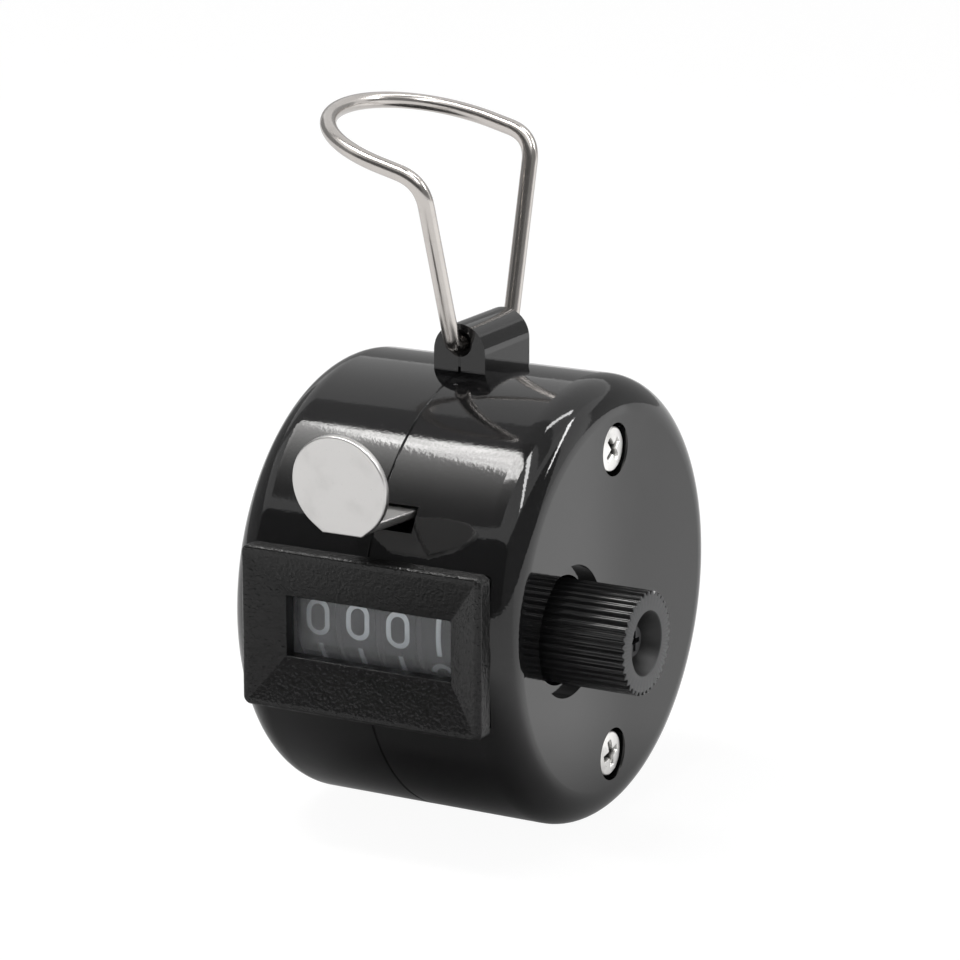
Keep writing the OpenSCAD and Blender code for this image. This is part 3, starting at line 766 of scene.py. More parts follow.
@dataclass
class FingerRing:
    """Bent wire ring that swings in the lug: two pins, two legs, two shoulders and a round loop."""

    wire_r: float = 0.8
    lug_len: float = 9.0
    foot_gap: float = 0.5
    pin_in: float = 2.4
    foot_cut: float = 0.8
    shoulder_back: float = 0.4
    leg_rise: float = 17.2
    shoulder_cut: float = 2.6
    shoulder_steps: int = 32
    loop_r: float = 10.75
    loop_run: float = 4.6
    loop_tilt: float = 15.0
    loop_roll: float = 3.5
    loop_steps: int = 97
    around: int = 28
    spacing: float = 0.22
    finish: PlatedMetal = PlatedMetal("ring_nickel_wire", (0.56, 0.53, 0.505), 0.15, Relief(0.5, 0.0008, 3.0))

    def loop_up(self) -> Array:
        """Direction square to the tilted loop before its roll."""
        tilt = np.radians(self.loop_tilt)
        return np.array([np.sin(tilt), 0.0, np.cos(tilt)])

    def route(self) -> Array:
        """Middle line of the wire, from the front pin over the loop to the back pin.

        Returns:
            Points in millimetres: straight pins and legs, rounded corners and a half circle.
        """
        pivot = joint_place("ring_swing")
        tilt, roll = np.radians(self.loop_tilt), np.radians(self.loop_roll)
        along = np.array([-np.cos(tilt), 0.0, np.sin(tilt)])
        back = np.array([0.0, 1.0, 0.0])
        across = np.cos(roll) * back + np.sin(roll) * self.loop_up()
        foot_y = self.lug_len / 2.0 + self.foot_gap + self.wire_r
        pin_y = self.lug_len / 2.0 - self.pin_in
        top = pivot + np.array([-self.shoulder_back, 0.0, self.leg_rise])
        feet = [pivot + side * foot_y * back for side in (-1, 1)]
        pins = [pivot + side * pin_y * back for side in (-1, 1)]
        shoulders = [top + side * self.loop_r * across for side in (-1, 1)]
        turn = np.linspace(-QUARTER_TURN, QUARTER_TURN, self.loop_steps)[:, None]
        reach = self.loop_run + self.loop_r * np.cos(turn)
        loop = top + reach * along + self.loop_r * np.sin(turn) * across
        stretches = [
            pins[0][None],
            bend(pins[0], feet[0], shoulders[0], self.foot_cut),
            bend(feet[0], shoulders[0], loop[0], self.shoulder_cut, self.shoulder_steps),
            loop,
            bend(loop[-1], shoulders[1], feet[1], self.shoulder_cut, self.shoulder_steps),
            bend(shoulders[1], feet[1], pins[1], self.foot_cut),
            pins[1][None],
        ]
        return even_steps(np.concatenate(stretches), self.spacing)

    def build(self) -> None:
        """Make the wire and let it replace the ring's node."""
        surface = Surface()
        wire(surface, self.route(), self.wire_r, self.around, self.loop_up())
        piece = surface.build("finger_ring_wire")
        install(piece, Body.RING, "ring_nickel", self.finish.material(), "finger_ring")


def rounded_rectangle(half: Array, radius: float, arc: int = 10, side: int = 6) -> Array:
    """Outline of a rectangle with rounded corners, counter-clockwise, as (w, h) points.

    Args:
        half: Half of the width and of the height.
        radius: Radius of the corners.
        arc: Points on each corner.
        side: Points inside each straight side.

    Returns:
        Array of shape (4 * (arc + side), 2): four arcs, each followed by an even run to the next one.
    """
    quarter = np.linspace(0.0, QUARTER_TURN, arc)
    arcs = []
    for corner, signs in enumerate(((1, 1), (-1, 1), (-1, -1), (1, -1))):
        centre = np.array(signs) * (half - radius)
        arcs.append(centre + radius * on_circle(quarter + corner * QUARTER_TURN))
    share = (np.arange(1, side + 1) / (side + 1))[:, None]
    stretches = []
    for here, following in zip(arcs, arcs[1:] + arcs[:1]):
        stretches += [here, here[-1] + share * (following[0] - here[-1])]
    return np.concatenate(stretches)


@dataclass
class WindowFrame:
    """Frame round the window: a flange with a chamfered rim, a sloping face and a plug in the case."""

    chamfer: float = 0.2
    rim: float = 0.5
    corner: float = 0.8
    inner_corner: float = 0.12
    plug_in: float = 0.5
    flange: float = 1.8
    funnel: float = 1.5
    lens_lap: float = 0.8
    lens_gap: float = 0.1
    soft_edge: float = 0.07
    sharp_deg: float = 15.0
    finish: GrainedPlastic = GrainedPlastic("bezel_leather_grain", (0.0042, 0.0042, 0.0042))

    def build(self) -> None:
        """Loft rounded rectangles from the lens seat over the sloping face and rim to the plug's back."""
        low, high = in_mm(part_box("front_bezel"))
        lens_low, lens_high = in_mm(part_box("window_lens"))
        middle = (low + high) / 2.0
        front, back, lens_y = low[1], high[1], lens_low[1]
        outer = (high - low)[[0, 2]] / 2.0
        seat = (lens_high - lens_low)[[0, 2]] / 2.0 + self.lens_gap
        window = seat - self.lens_lap
        soft, cut, rim = self.soft_edge, self.chamfer, self.rim
        corner, tight = self.corner, self.inner_corner
        throat_y, flange_y = front + self.funnel, front + self.flange
        slope_y = front + soft * self.funnel / (outer - cut - rim - window)[0]
        sections = [
            (seat, tight, back),
            (seat, tight, lens_y),
            (window, tight, lens_y),
            (window, tight, throat_y + soft),
            (window + soft, tight, throat_y),
            (outer - cut - rim - soft, tight, slope_y),
            (outer - cut - rim + soft, tight, front),
            (outer - cut - soft, corner - cut, front),
            (outer - cut + soft / 2.0, corner - cut + soft / 2.0, front + soft / 2.0),
            (outer - soft / 2.0, corner - soft / 2.0, front + cut - soft / 2.0),
            (outer, corner, front + cut + soft),
            (outer, corner, flange_y - soft),
            (outer - soft, corner - soft, flange_y),
            (outer - self.plug_in, self.plug_in, flange_y),
            (outer - self.plug_in, self.plug_in, back),
        ]
        rings = []
        for half, radius, depth in sections:
            outline = rounded_rectangle(half, radius)
            depths = np.full(len(outline), depth)
            rings.append(np.stack([middle[0] + outline[:, 0], depths, middle[2] + outline[:, 1]], axis=1))
        surface = Surface()
        surface.grid(np.stack(rings), close_u=True, close_v=True)
        piece = surface.build("window_frame", self.sharp_deg)
        install(piece, Body.HOUSING, "bezel_black", self.finish.material(), "front_bezel")


@dataclass
class Figures:
    """Printed figures on a number wheel, drawn with one even stroke."""

    height: float = 3.76
    width: float = 2.6
    stroke: float = 0.57
    ink: float = 0.02
    ink_edge: float = 0.08
    step: float = 0.1
    steps: int = 20

    @property
    def half_width(self) -> float:
        """Half width of the stroke's middle line."""
        return (self.width - self.stroke) / 2.0

    @property
    def half_height(self) -> float:
        """Half height of the stroke's middle line."""
        return (self.height - self.stroke) / 2.0

    def line(self, *points: Span) -> Array:
        """Straight stroke through points given as shares of the half width and half height."""
        return np.array(points) * np.array([self.half_width, self.half_height])

    def arc(self, middle: float, rise: float, start: float, end: float, reach: float = 1.0) -> Array:
        """Elliptic arc about a middle on the figure's axis, in shares of the half sizes.

        Args:
            middle: Height of the ellipse's middle.
            rise: Its half height.
            start: Angle at which the arc starts, in degrees.
            end: Angle at which it ends.
            reach: Its half width.

        Returns:
            Points (across, up) of the arc.
        """
        turn = np.radians(np.linspace(start, end, self.steps))
        across = reach * self.half_width * np.cos(turn)
        return np.stack([across, self.half_height * (middle + rise * np.sin(turn))], axis=1)

    def strokes(self) -> list[list[Array]]:
        """Middle lines of the ten figures, from straight runs and elliptic arcs.

        Returns:
            For each figure from 0 to 9, its strokes as arrays of (across, up) points.
        """
        # An arc with this rise is a circle.
        ball = self.half_width / self.half_height
        high, low = 1 - ball, ball - 1
        zero = [self.arc(high, ball, 0, 180), self.arc(low, ball, 180, 360), self.line((1, 0), (1, high))]
        six = np.concatenate([self.arc(high, ball, 35, 180), self.arc(low, ball, 180, 540)])
        return [
            [np.concatenate(zero)],
            [self.line((0, 1.19), (0, -1.19))],
            [
                self.arc(high, ball, 175, -35),
                self.line((0.8, 1 - 1.57 * ball), (-1, -0.98)),
                self.line((-1.3, -1), (1.2, -1)),
            ],
            [self.arc(0.5, 0.5, 155, -90), self.arc(-0.5, 0.5, 90, -155)],
            [
                self.line((0.35, -1.19), (0.35, 1.1)),
                self.line((0.35, 1.0), (-1, -0.35)),
                self.line((-1.25, -0.4), (1.2, -0.4)),
            ],
            [
                self.line((0.9, 1), (-0.95, 1)),
                self.line((-0.75, 1.1), (-0.85, 0.05)),
                self.arc(low, ball, 140, -150),
            ],
            [six],
            [self.line((-1.25, 1), (1.1, 1)), self.line((0.98, 1.05), (-0.3, -1.19))],
            [self.arc(0.5, 0.5, 0, 360, 0.86), self.arc(-0.5, 0.5, 0, 360)],
            [-six],
        ]

    def print_on(self, surface: Surface, centre: Array, radius: float, top_deg: float, shown: int) -> None:
        """Lay the figures round a wheel.

        Each stroke is a low ridge: a four-point section carried along the middle line, then wrapped on the
        cylinder so that a distance up the figure is an arc on the wheel.

        Args:
            surface: Surface that gets the strokes.
            centre: Middle of the wheel.
            radius: Radius of its band.
            top_deg: Angle above the horizontal at which the shown figure stands.
            shown: Figure in the window; higher ones follow below it.
        """
        top = 0.5 - self.ink_edge
        across = np.array([-0.5, -top, top, 0.5]) * self.stroke
        rise = radius + np.array([-self.ink, self.ink, self.ink, -self.ink])
        figures = self.strokes()
        pitch_deg = 360.0 / len(figures)
        for figure, strokes in enumerate(figures):
            turn = np.radians(top_deg - pitch_deg * (figure - shown))
            for stroke in strokes:
                path = even_steps(stroke, self.step)
                heading = unit(np.gradient(path, axis=0))
                normal = np.stack([-heading[:, 1], heading[:, 0]], axis=1)
                flat = path[:, None] + across[None, :, None] * normal[:, None]
                angle = turn + flat[..., 1] / radius
                points = np.stack([
                    centre[0] + flat[..., 0],
                    centre[1] - rise * np.cos(angle),
                    centre[2] + rise * np.sin(angle),
                ], axis=-1)
                surface.grid(points)


@dataclass
class Register:
    """Four number wheels with printed figures, and the pieces between them."""

    reading: tuple[int, ...] = (0, 0, 0, 1)
    stand_deg: tuple[float, ...] = (0.0, 0.8, -0.6, -1.5)
    figures: Figures = field(default_factory=Figures)
    wheel_finish: MattePlastic = MattePlastic("wheel_dark_grey", (0.006, 0.0062, 0.0067), 0.6, 0.15, 0.15)
    ink_finish: MattePlastic = MattePlastic("figure_pale_ink", (0.9, 0.93, 0.95), 0.5, 0.05)
    carrier_finish: MattePlastic = MattePlastic("carrier_dark", (0.012, 0.012, 0.013), 0.6)
    pinion_finish: MattePlastic = MattePlastic("pinion_white", (0.7, 0.69, 0.65))
    lens_finish: ClearLens = ClearLens("lens_clear_sheet")

    def build(self) -> None:
        """Print each wheel and dress the wheels, lens and pinions."""
        plastic, ink = self.wheel_finish.material(), self.ink_finish.material()
        bodies = (Body.THOUSANDS, Body.HUNDREDS, Body.TENS, Body.UNITS)
        axis = joint_place("units_turn")
        units_low, units_high = in_mm(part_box("units_wheel"))
        band_half = (units_high - units_low)[0] / 2.0
        for body, shown, stand in zip(bodies, self.reading, self.stand_deg):
            node = body.value + "_wheel"
            low, high = in_mm(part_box(node))
            centre = np.array([high[0] - band_half, axis[1], axis[2]])
            radius = (high - low)[2] / 2.0
            surface = Surface()
            self.figures.print_on(surface, centre, radius, stand, shown)
            install(surface.build(body.value + "_figures"), body, "wheel_grey", ink)
            dress(frame["nodes"][node], plastic)
        dress(frame["nodes"]["window_lens"], self.lens_finish.material())
        white, dark = self.pinion_finish.material(), self.carrier_finish.material()
        for place in (1, 2, 3):
            dress(frame["nodes"][f"transfer_pinion_{place}"], white)
            dress(frame["nodes"][f"carrier_plate_{place}"], dark)


@dataclass
class SheetMetal:
    """Flat plates of one thickness with rounded edges."""

    sheet: float
    edge: float
    edge_rows: int = 5
    edge_flat: float = 0.06

    def rounded(self, surface: Surface, outline: Array, place: Array, axes: Array) -> None:
        """Plate with rounded edges: rings of a convex outline, drawn in and lowered along a quarter circle.

        Args:
            surface: Surface that gets the plate.
            outline: Points (a, b), counter-clockwise.
            place: Point of the plate's middle plane at a = b = 0.
            axes: Directions of a, of b and of the plate's front, as rows.
        """
        ahead = np.roll(outline, -1, axis=0) - outline
        behind = outline - np.roll(outline, 1, axis=0)
        heading = unit(unit(ahead) + unit(behind))
        outward = np.stack([heading[:, 1], -heading[:, 0]], axis=1)
        turn = np.linspace(0.0, QUARTER_TURN, self.edge_rows)
        inset = np.concatenate([[self.edge + self.edge_flat], self.edge * (1.0 - np.sin(turn))])
        level = self.sheet / 2.0 - np.concatenate([[0.0], self.edge * (1.0 - np.cos(turn))])
        inset = np.concatenate([inset, inset[::-1]])
        level = np.concatenate([level, -level[::-1]])
        drawn = outline[None] - inset[:, None, None] * outward[None]
        height = np.broadcast_to(level[:, None, None], drawn.shape[:2] + (1,))
        surface.tube(place + np.concatenate([drawn, height], axis=2) @ axes)


@dataclass
class ThumbLever:
    """Sheet-metal thumb lever: round pad, tapered arm, and inside the case two ears and a drive arm."""

    sheet: float = 0.8
    edge: float = 0.16
    pad_r: float = 4.95
    pad_rise: float = 4.65
    pad_reach: float = 4.6
    pad_steps: int = 140
    lean_deg: float = 7.0
    neck_w: float = 4.2
    arm_top: float = 12.05
    arm_w: float = 6.2
    case_r: float = 22.0
    ear_r: float = 1.5
    ear_steps: int = 20
    drive_w: float = 2.2
    drive_steps: int = 40
    strip_lead: float = 2.2
    finish: PlatedMetal = PlatedMetal(
        "lever_satin_nickel", (0.62, 0.61, 0.6), 0.27, Relief(0.25, 0.0006, 3.0, (1.0, 1.0, 0.2))
    )

    def pad_outline(self) -> Array:
        """Outline of the pad about the fold's line.

        Returns:
            Points (across, up): an arc of the pad's circle between its tangents to the neck, then the neck's
            corners.
        """
        half_neck, rise = self.neck_w / 2.0, self.pad_rise
        tangent = math.atan2(-rise, half_neck) + math.acos(self.pad_r / math.hypot(half_neck, rise))
        arc = self.pad_r * on_circle(np.linspace(tangent, np.pi - tangent, self.pad_steps))
        outline = np.concatenate([arc, [[-half_neck, -rise], [half_neck, -rise]]])
        return outline + np.array([0.0, rise - self.sheet])

    def arm_outline(self, fold_y: float, back_y: float) -> Array:
        """Outline of the arm seen from above: narrow at the fold, full width from the slot on.

        Args:
            fold_y: Place of the fold.
            back_y: Place of the arm's back end.

        Returns:
            Points (x, y) about the arm's middle line.
        """
        neck, wide = self.neck_w / 2.0, self.arm_w / 2.0
        slot_y = -math.sqrt(self.case_r ** 2 - self.arm_top ** 2)
        front_y = fold_y - self.sheet / 2.0
        right = [[neck, front_y], [wide, slot_y], [wide, back_y]]
        left = [[-wide, back_y], [-wide, slot_y]]
        return np.array([[-neck, front_y], *right, *left])

    def build_outside(self, surface: Surface, middle_x: float, back_y: float) -> None:
        """Add the pad and the arm, which show.

        Args:
            surface: Surface that gets them.
            middle_x: Place of the lever's middle line.
            back_y: Place of the arm's back end.
        """
        plates = SheetMetal(self.sheet, self.edge)
        fold_y = -(self.case_r + self.pad_reach - self.sheet)
        lean = math.radians(self.lean_deg)
        right = np.array([1.0, 0.0, 0.0])
        up = np.array([0.0, -math.sin(lean), math.cos(lean)])
        out = np.array([0.0, -math.cos(lean), -math.sin(lean)])
        pad_place = np.array([middle_x, fold_y, self.arm_top]) + out * self.sheet / 2.0
        plates.rounded(surface, self.pad_outline(), pad_place, np.stack([right, up, out]))
        arm_place = np.array([middle_x, 0.0, self.arm_top - self.sheet / 2.0])
        plates.rounded(surface, self.arm_outline(fold_y, back_y), arm_place, np.eye(3))

    def build_inside(self, surface: Surface, middle_x: float, drive_x: float, back_y: float) -> None:
        """Add the two ears on the pivot, the drive arm to the pawl and the strip that joins them to the arm.

        Args:
            surface: Surface that gets them.
            middle_x: Place of the lever's middle line.
            drive_x: Place of the drive arm's left face.
            back_y: Place of the arm's back end.
        """
        pivot, pawl = joint_place("lever_press")[1:], joint_place("pawl_lift")[1:]
        arm_z = self.arm_top - self.sheet
        ear_top = pivot + self.ear_r * on_circle(np.linspace(np.pi, 0.0, self.ear_steps))
        ear = np.concatenate([ear_top, [[pivot[0] + self.ear_r, arm_z], [pivot[0] - self.ear_r, arm_z]]])
        for start_x in (middle_x - self.arm_w / 2.0, drive_x):
            surface.prism(ear, start_x, start_x + self.sheet)
        circle = on_circle(np.linspace(0.0, FULL_TURN, self.drive_steps, endpoint=False))
        ends = np.where((circle @ unit(pawl - pivot) > 0)[:, None], pawl, pivot)
        surface.prism(ends + self.drive_w / 2.0 * circle, drive_x, drive_x + self.sheet)
        front_y = pivot[0] - self.strip_lead
        strip = [[front_y, arm_z], [back_y, arm_z], [back_y, self.arm_top], [front_y, self.arm_top]]
        surface.prism(np.array(strip), middle_x, drive_x + self.sheet)

    def build(self) -> None:
        """Make the pad, arm, inner ears and drive arm, and replace the lever's node."""
        low, high = in_mm(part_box("thumb_lever"))
        middle_x = low[0] + self.pad_r
        back_y = joint_place("lever_press")[1] + self.ear_r
        surface = Surface()
        self.build_outside(surface, middle_x, back_y)
        self.build_inside(surface, middle_x, high[0] - self.sheet, back_y)
        piece = surface.build("thumb_lever_stamping")
        install(piece, Body.LEVER, "lever_steel", self.finish.material(), "thumb_lever")


@dataclass
class ResetKnob:
    """Ridged reset knob with a hollow end."""

    ridges: int = 38
    ridge_depth: float = 0.36
    ridge_top: float = 2.2
    ridge_start: float = 0.3
    ridge_rows: int = 8
    ridge_step: float = 0.01
    around: int = 12
    shank: float = 2.3
    rim: float = 0.12
    rim_round: float = 0.3
    hollow_r: float = 3.1
    hollow_lip: float = 0.06
    hollow: float = 2.2
    floor_r: float = 2.4
    floor_round: float = 0.1
    floor_ease: float = 0.04
    bore_r: float = 1.52
    sharp_deg: float = 30.0
    colour: Colour = (0.013, 0.013, 0.0135)

    def stations(self, start_x: float, end_x: float, outer: float) -> list[Triple]:
        """Profile of the knob from its bore over the skirt and the end's rim into the hollow.

        Args:
            start_x: Place of the knob's inner end.
            end_x: Place of its outer end.
            outer: Radius over the ridges.

        Returns:
            Places along the axis, radii, and 1 where the ridges are cut or 0 where they aren't.
        """
        skirt_x, floor_x = start_x + self.shank, end_x - self.hollow
        plain = outer - self.ridge_depth
        fall = self.rim * self.rim_round
        ridge_x = np.linspace(skirt_x + self.ridge_start, end_x - self.rim, self.ridge_rows)
        return [
            (start_x, self.bore_r, 0.0),
            (start_x, plain, 0.0),
            (skirt_x, plain, 0.0),
            (skirt_x, outer, 0.0),
            (skirt_x + self.ridge_step, outer, 1.0),
            *[(x, outer, 1.0) for x in ridge_x],
            (end_x - fall, outer - fall, 1.0),
            (end_x, outer - self.rim, 1.0),
            (end_x, self.hollow_r + self.hollow_lip, 0.0),
            (end_x - self.hollow_lip, self.hollow_r, 0.0),
            (floor_x + self.floor_round, self.floor_r + self.floor_ease, 0.0),
            (floor_x, self.floor_r - self.floor_round, 0.0),
            (floor_x, self.bore_r / 2.0, 0.0),
        ]

    def build(self) -> None:
        """Revolve the knob's profile, with a rounded square wave of ridges on its skirt."""
        low, high = in_mm(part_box("reset_knob"))
        centre = joint_place("reset_turn")
        stations = self.stations(low[0], high[0], (high - low)[2] / 2.0)
        x, radius, ridged = (np.array(column)[:, None] for column in zip(*stations))
        turn = np.linspace(0.0, FULL_TURN, self.ridges * self.around, endpoint=False)[None]
        wave = np.tanh(self.ridge_top * np.cos(self.ridges * turn)) / np.tanh(self.ridge_top)
        out = radius - ridged * self.ridge_depth * (1.0 - wave) / 2.0
        y, z = centre[1] + out * np.cos(turn), centre[2] + out * np.sin(turn)
        surface = Surface()
        surface.grid(np.stack([np.broadcast_to(x, out.shape), y, z], axis=-1), close_v=True)
        finish = KnobPlastic("knob_black_ridged", self.colour, high[0], centre[1], centre[2], self.hollow_r)
        piece = surface.build("reset_knob_cap", self.sharp_deg)
        install(piece, Body.KNOB, "knob_black", finish.material(), "reset_knob")


@dataclass
class CaseScrews:
    """Two cross-recessed case screws sunk in the right face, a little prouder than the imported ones."""

    head_r: float = 2.2
    head_t: float = 1.5
    proud: float = 0.4
    crown: float = 0.12
    rim_w: float = 0.12
    rim_drop: float = 0.1
    shank_r: float = 1.15
    slot_w: float = 0.6
    slot_len: float = 1.4
    slot_depth: float = 0.8
    slot_wall: float = 0.12
    slot_power: int = 4
    shade_start: float = 0.12
    shade_depth: float = 0.3
    shade_reach: float = 1.4
    around: int = 144
    rows: int = 40
    turn_deg: Span = (38.0, 12.0)
    sharp_deg: float = 40.0
    # Its recess attribute paints shade in the cross of each head.
    finish: PlatedMetal = PlatedMetal("screw_bright_nickel", (0.86, 0.85, 0.83), 0.26, recess="recess")

    def recess(self, y: Array, z: Array) -> Array:
        """Depth share of the cross recess: two crossed slots that shallow out to their ends.

        Args:
            y: Places across the head.
            z: Places up the head.

        Returns:
            The share, from 0 outside the cross to 1 in its middle.
        """
        arms = []
        for across, along in ((y, z), (z, y)):
            wide = np.clip((self.slot_w / 2.0 - np.abs(across)) / self.slot_wall + 0.5, 0.0, 1.0)
            long = np.clip(1.0 - (np.abs(along) / self.slot_len) ** self.slot_power, 0.0, 1.0)
            arms.append(wide * long)
        return np.maximum(*arms)

    def build(self) -> None:
        """Make both screws: a crowned disc lowered by the cross, a rim and a shank."""
        low, high = in_mm(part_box("housing_screws"))
        top_x, seat_x, end_x = high[0] + self.proud, high[0] - self.head_t, low[0]
        turn = np.linspace(0.0, FULL_TURN, self.around, endpoint=False)[None]
        radius = np.linspace(0.0, self.head_r - self.rim_w, self.rows)[:, None]
        dome = self.crown * (radius / self.head_r) ** 2
        face = top_x - dome - self.slot_depth * self.recess(radius * np.cos(turn), radius * np.sin(turn))
        side = np.array([
            (top_x - self.crown - self.rim_drop, self.head_r),
            (seat_x, self.head_r),
            (seat_x, self.shank_r),
            (end_x, self.shank_r),
            (end_x, 0.0),
        ])
        ring_x = np.concatenate([face, side[:, :1] + 0 * turn])
        ring_r = np.concatenate([radius, side[:, 1:]])
        surface = Surface()
        for middle_z, twist in zip((high[2] - self.head_r, low[2] + self.head_r), np.radians(self.turn_deg)):
            y, z = ring_r * np.cos(turn + twist), middle_z + ring_r * np.sin(turn + twist)
            surface.grid(np.stack([ring_x, y, z], axis=-1), close_v=True)
        piece = surface.build("case_screws", self.sharp_deg)
        shade_x, stop_x = top_x - self.crown - self.shade_start, top_x - self.shade_reach

        def sunk(points: Array) -> Array:
            """Share of painted shade: 0 on the face and 1 deep in the cross, and none on the shank."""
            return np.clip((shade_x - points[:, 0]) / self.shade_depth, 0.0, 1.0) * (points[:, 0] > stop_x)

        # The recess attribute paints shade deep in the cross of each head.
        mark(piece, "recess", sunk)
        install(piece, Body.HOUSING, "screw_nickel", self.finish.material(), "housing_screws")


@dataclass
class Case:
    """Two glossy half shells of the drum."""

    colour: Colour = (0.0058, 0.0058, 0.0061)

    def build(self) -> None:
        """Dress both shells, with the parting line where they meet."""
        seam_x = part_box("left_shell")[1].x / MM
        material = GlossPlastic("case_gloss_black", self.colour, seam_x).material()
        for node in ("left_shell", "right_shell"):
            dress(frame["nodes"][node], material)
            log.info("%s dressed", node)


@dataclass
class Movement:
    """Steel and brass pieces of the movement, and the knob's screw."""

    steel: PlainMetal = PlainMetal("movement_zinc_steel", (0.58, 0.58, 0.575))
    spring: PlainMetal = PlainMetal("movement_spring_steel", (0.4, 0.4, 0.41), 0.24)
    brass: PlainMetal = PlainMetal("movement_brass", (0.68, 0.5, 0.22), 0.25)
    dark: PlainMetal = PlainMetal("knob_screw_blackened", (0.05, 0.05, 0.052), 0.35, 0.8)

    def build(self) -> None:
        """Dress the plates, pins, springs, ratchet and knob screw."""
        groups = (
            (self.steel, (
                "left_frame_plate", "right_frame_plate", "frame_spacers", "carrier_rod",
                "lever_pivot_pin", "pawl_pin", "wheel_shaft", "drive_pawl",
            )),
            (self.spring, ("lever_return_spring", "holding_spring", "shaft_clip")),
            (self.brass, ("ratchet_wheel", "shaft_bush")),
            (self.dark, ("knob_screw",)),
        )
        for finish, nodes in groups:
            material = finish.material()
            for node in nodes:
                dress(frame["nodes"][node], material)
            log.info("%s on %s", finish.name, ", ".join(nodes))


@dataclass(frozen=True)
class Card:
    """Studio card that only reflections see: its middle and two half edges in metres, and its brightness."""

    name: str
    middle: Triple
    first: Triple
    second: Triple
    glow: float


@dataclass
class Studio:
    """White floor, overhead light panel, cards round the object and the camera.

    The floor and the panel are shaded in millimetres. The fill's rise is a span of a direction's height, from
    0 at the horizon to 1 overhead.
    """

    azimuth_deg: float = 28.84
    elevation_deg: float = 14.43
    distance: float = 387.0
    aim_right: float = 0.48
    aim_up: float = 10.02
    lens_mm: float = 147.94
    sensor_mm: float = 36.0
    near_clip: float = 0.01
    floor_half: float = 4.0
    floor_tones: Span = (0.9, 0.93)
    floor_patch: float = 40.0
    floor_detail: float = 2.0
    white_share: float = 0.88
    floor_glow: float = 1.07
    # Painted shadow of the drum on the floor, seen only in reflections: its reach, middle and tone.
    contact_shadow_mm: Span = (5.0, 64.0)
    contact_shadow_at: Span = (18.0, -24.0)
    contact_shadow_tone: float = 0.02
    # Painted light and shade on the floor behind the drum, seen only in reflections: brighter to the right of a
    # slanted line, darker to its left.
    aside_slope: float = 2.0
    aside_mm: Span = (-73.0, -56.0)
    aside_start: Span = (-10.0, 10.0)
    aside_light_lift: float = 0.3
    aside_shade_fall: float = 0.45
    fill_low: float = 1.45
    fill_high: float = 0.2
    fill_rise: Span = (0.15, 0.5)
    panel_z: float = 0.5
    warm: Colour = (1.0, 0.99, 0.975)
    panel_x: Span = (-0.40, 0.10)
    panel_y: Span = (-0.50, 0.005)
    panel_full: float = 20.0
    panel_fade: float = 6.5
    panel_dark: float = 0.3
    panel_slant: float = 2.4
    panel_skew: float = 0.3
    panel_corner: Span = (-284.0, 0.0)
    panel_front: float = -185.0
    panel_soft: float = 15.0
    panel_back_soft: float = 10.0
    facets: Marks = Marks(9.0, 1.0, (0.38, 0.62), 0.6)
    cards: Sequence[Card] = (
        Card("card_front", (0.0, -0.85, 0.36), (1.3, 0.0, 0.0), (0.0, 0.0, 0.34), 0.1),
        Card("card_gap", (-0.2, 0.0775, 0.52), (0.7, 0.0, 0.0), (0.0, 0.0725, 0.0), 0.42),
        Card("card_top", (-0.2, 0.65, 0.62), (0.7, 0.0, 0.0), (0.0, 0.5, 0.0), 0.85),
        Card("card_back", (-0.2, 1.2, 0.29), (1.2, 0.0, 0.0), (0.0, 0.0, 0.29), 0.4),
        Card("card_left", (-1.0, 0.0, 0.3), (0.0, 0.8, 0.0), (0.0, 0.0, 0.3), 0.3),
        Card("card_right", (1.2, -0.2, 0.45), (0.0, 0.9, 0.0), (0.0, 0.0, 0.46), 0.25),
        Card("strip_right", (0.34, -0.145, 0.5), (0.25, -0.087, 0.0), (0.0076, 0.0228, 0.0), 15.0),
        Card("strip_edge", (0.76, 0.4, 0.5), (0.3, 0.0, 0.0), (0.0, 0.04, 0.0), 18.0),
        Card("strip_back", (0.195, 0.225, 0.5), (0.095, 0.125, 0.0), (0.0144, -0.0108, 0.0), 12.0),
    )

    def rectangle(self, name: str, middle: Triple, first: Triple, second: Triple) -> bpy.types.Object:
        """Flat sheet from its middle and two half edges, in metres, outside the object.

        Args:
            name: Name of the sheet.
            middle: Its middle.
            first: Half edge along one side.
            second: Half edge along the other side.

        Returns:
            The sheet.
        """
        along = np.linspace(-1.0, 1.0, 2)[:, None, None]
        across = np.linspace(-1.0, 1.0, 2)[None, :, None]
        points = np.array(middle) + along * np.array(first) + across * np.array(second)
        surface = Surface()
        surface.grid(points / MM)
        sheet = surface.build(name)
        return sheet

    def build_floor(self) -> None:
        """White floor under the drum: it shows white, and keeps part of its shading for the shadow.

        In reflections it carries a painted shadow where the drum stands, and behind the drum painted light
        and shade make it brighter on the right of a slanted line, by a smooth step on y - slope * x.
        """
        bottom = min(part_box(node)[0].z for node in ("left_shell", "right_shell"))
        half = self.floor_half
        floor = self.rectangle("floor", (0.0, 0.0, bottom), (half, 0.0, 0.0), (0.0, half, 0.0))
        material, shader = new_shader("floor_white")
        patches = shader.noise(shader.place(), self.floor_patch, self.floor_detail)
        paint = shader.blend(patches, *(grey(tone) for tone in self.floor_tones))
        matte = shader.add("ShaderNodeBsdfDiffuse", {}, {"Color": paint})
        # Painted shadow where the drum stands, dark only in reflections.
        painted_contact_shadow = 1.0 - shader.away(shader.place(), (*self.contact_shadow_at, bottom / MM)).step(*self.contact_shadow_mm)
        mirrored = shader.ray(Ray.GLOSSY)
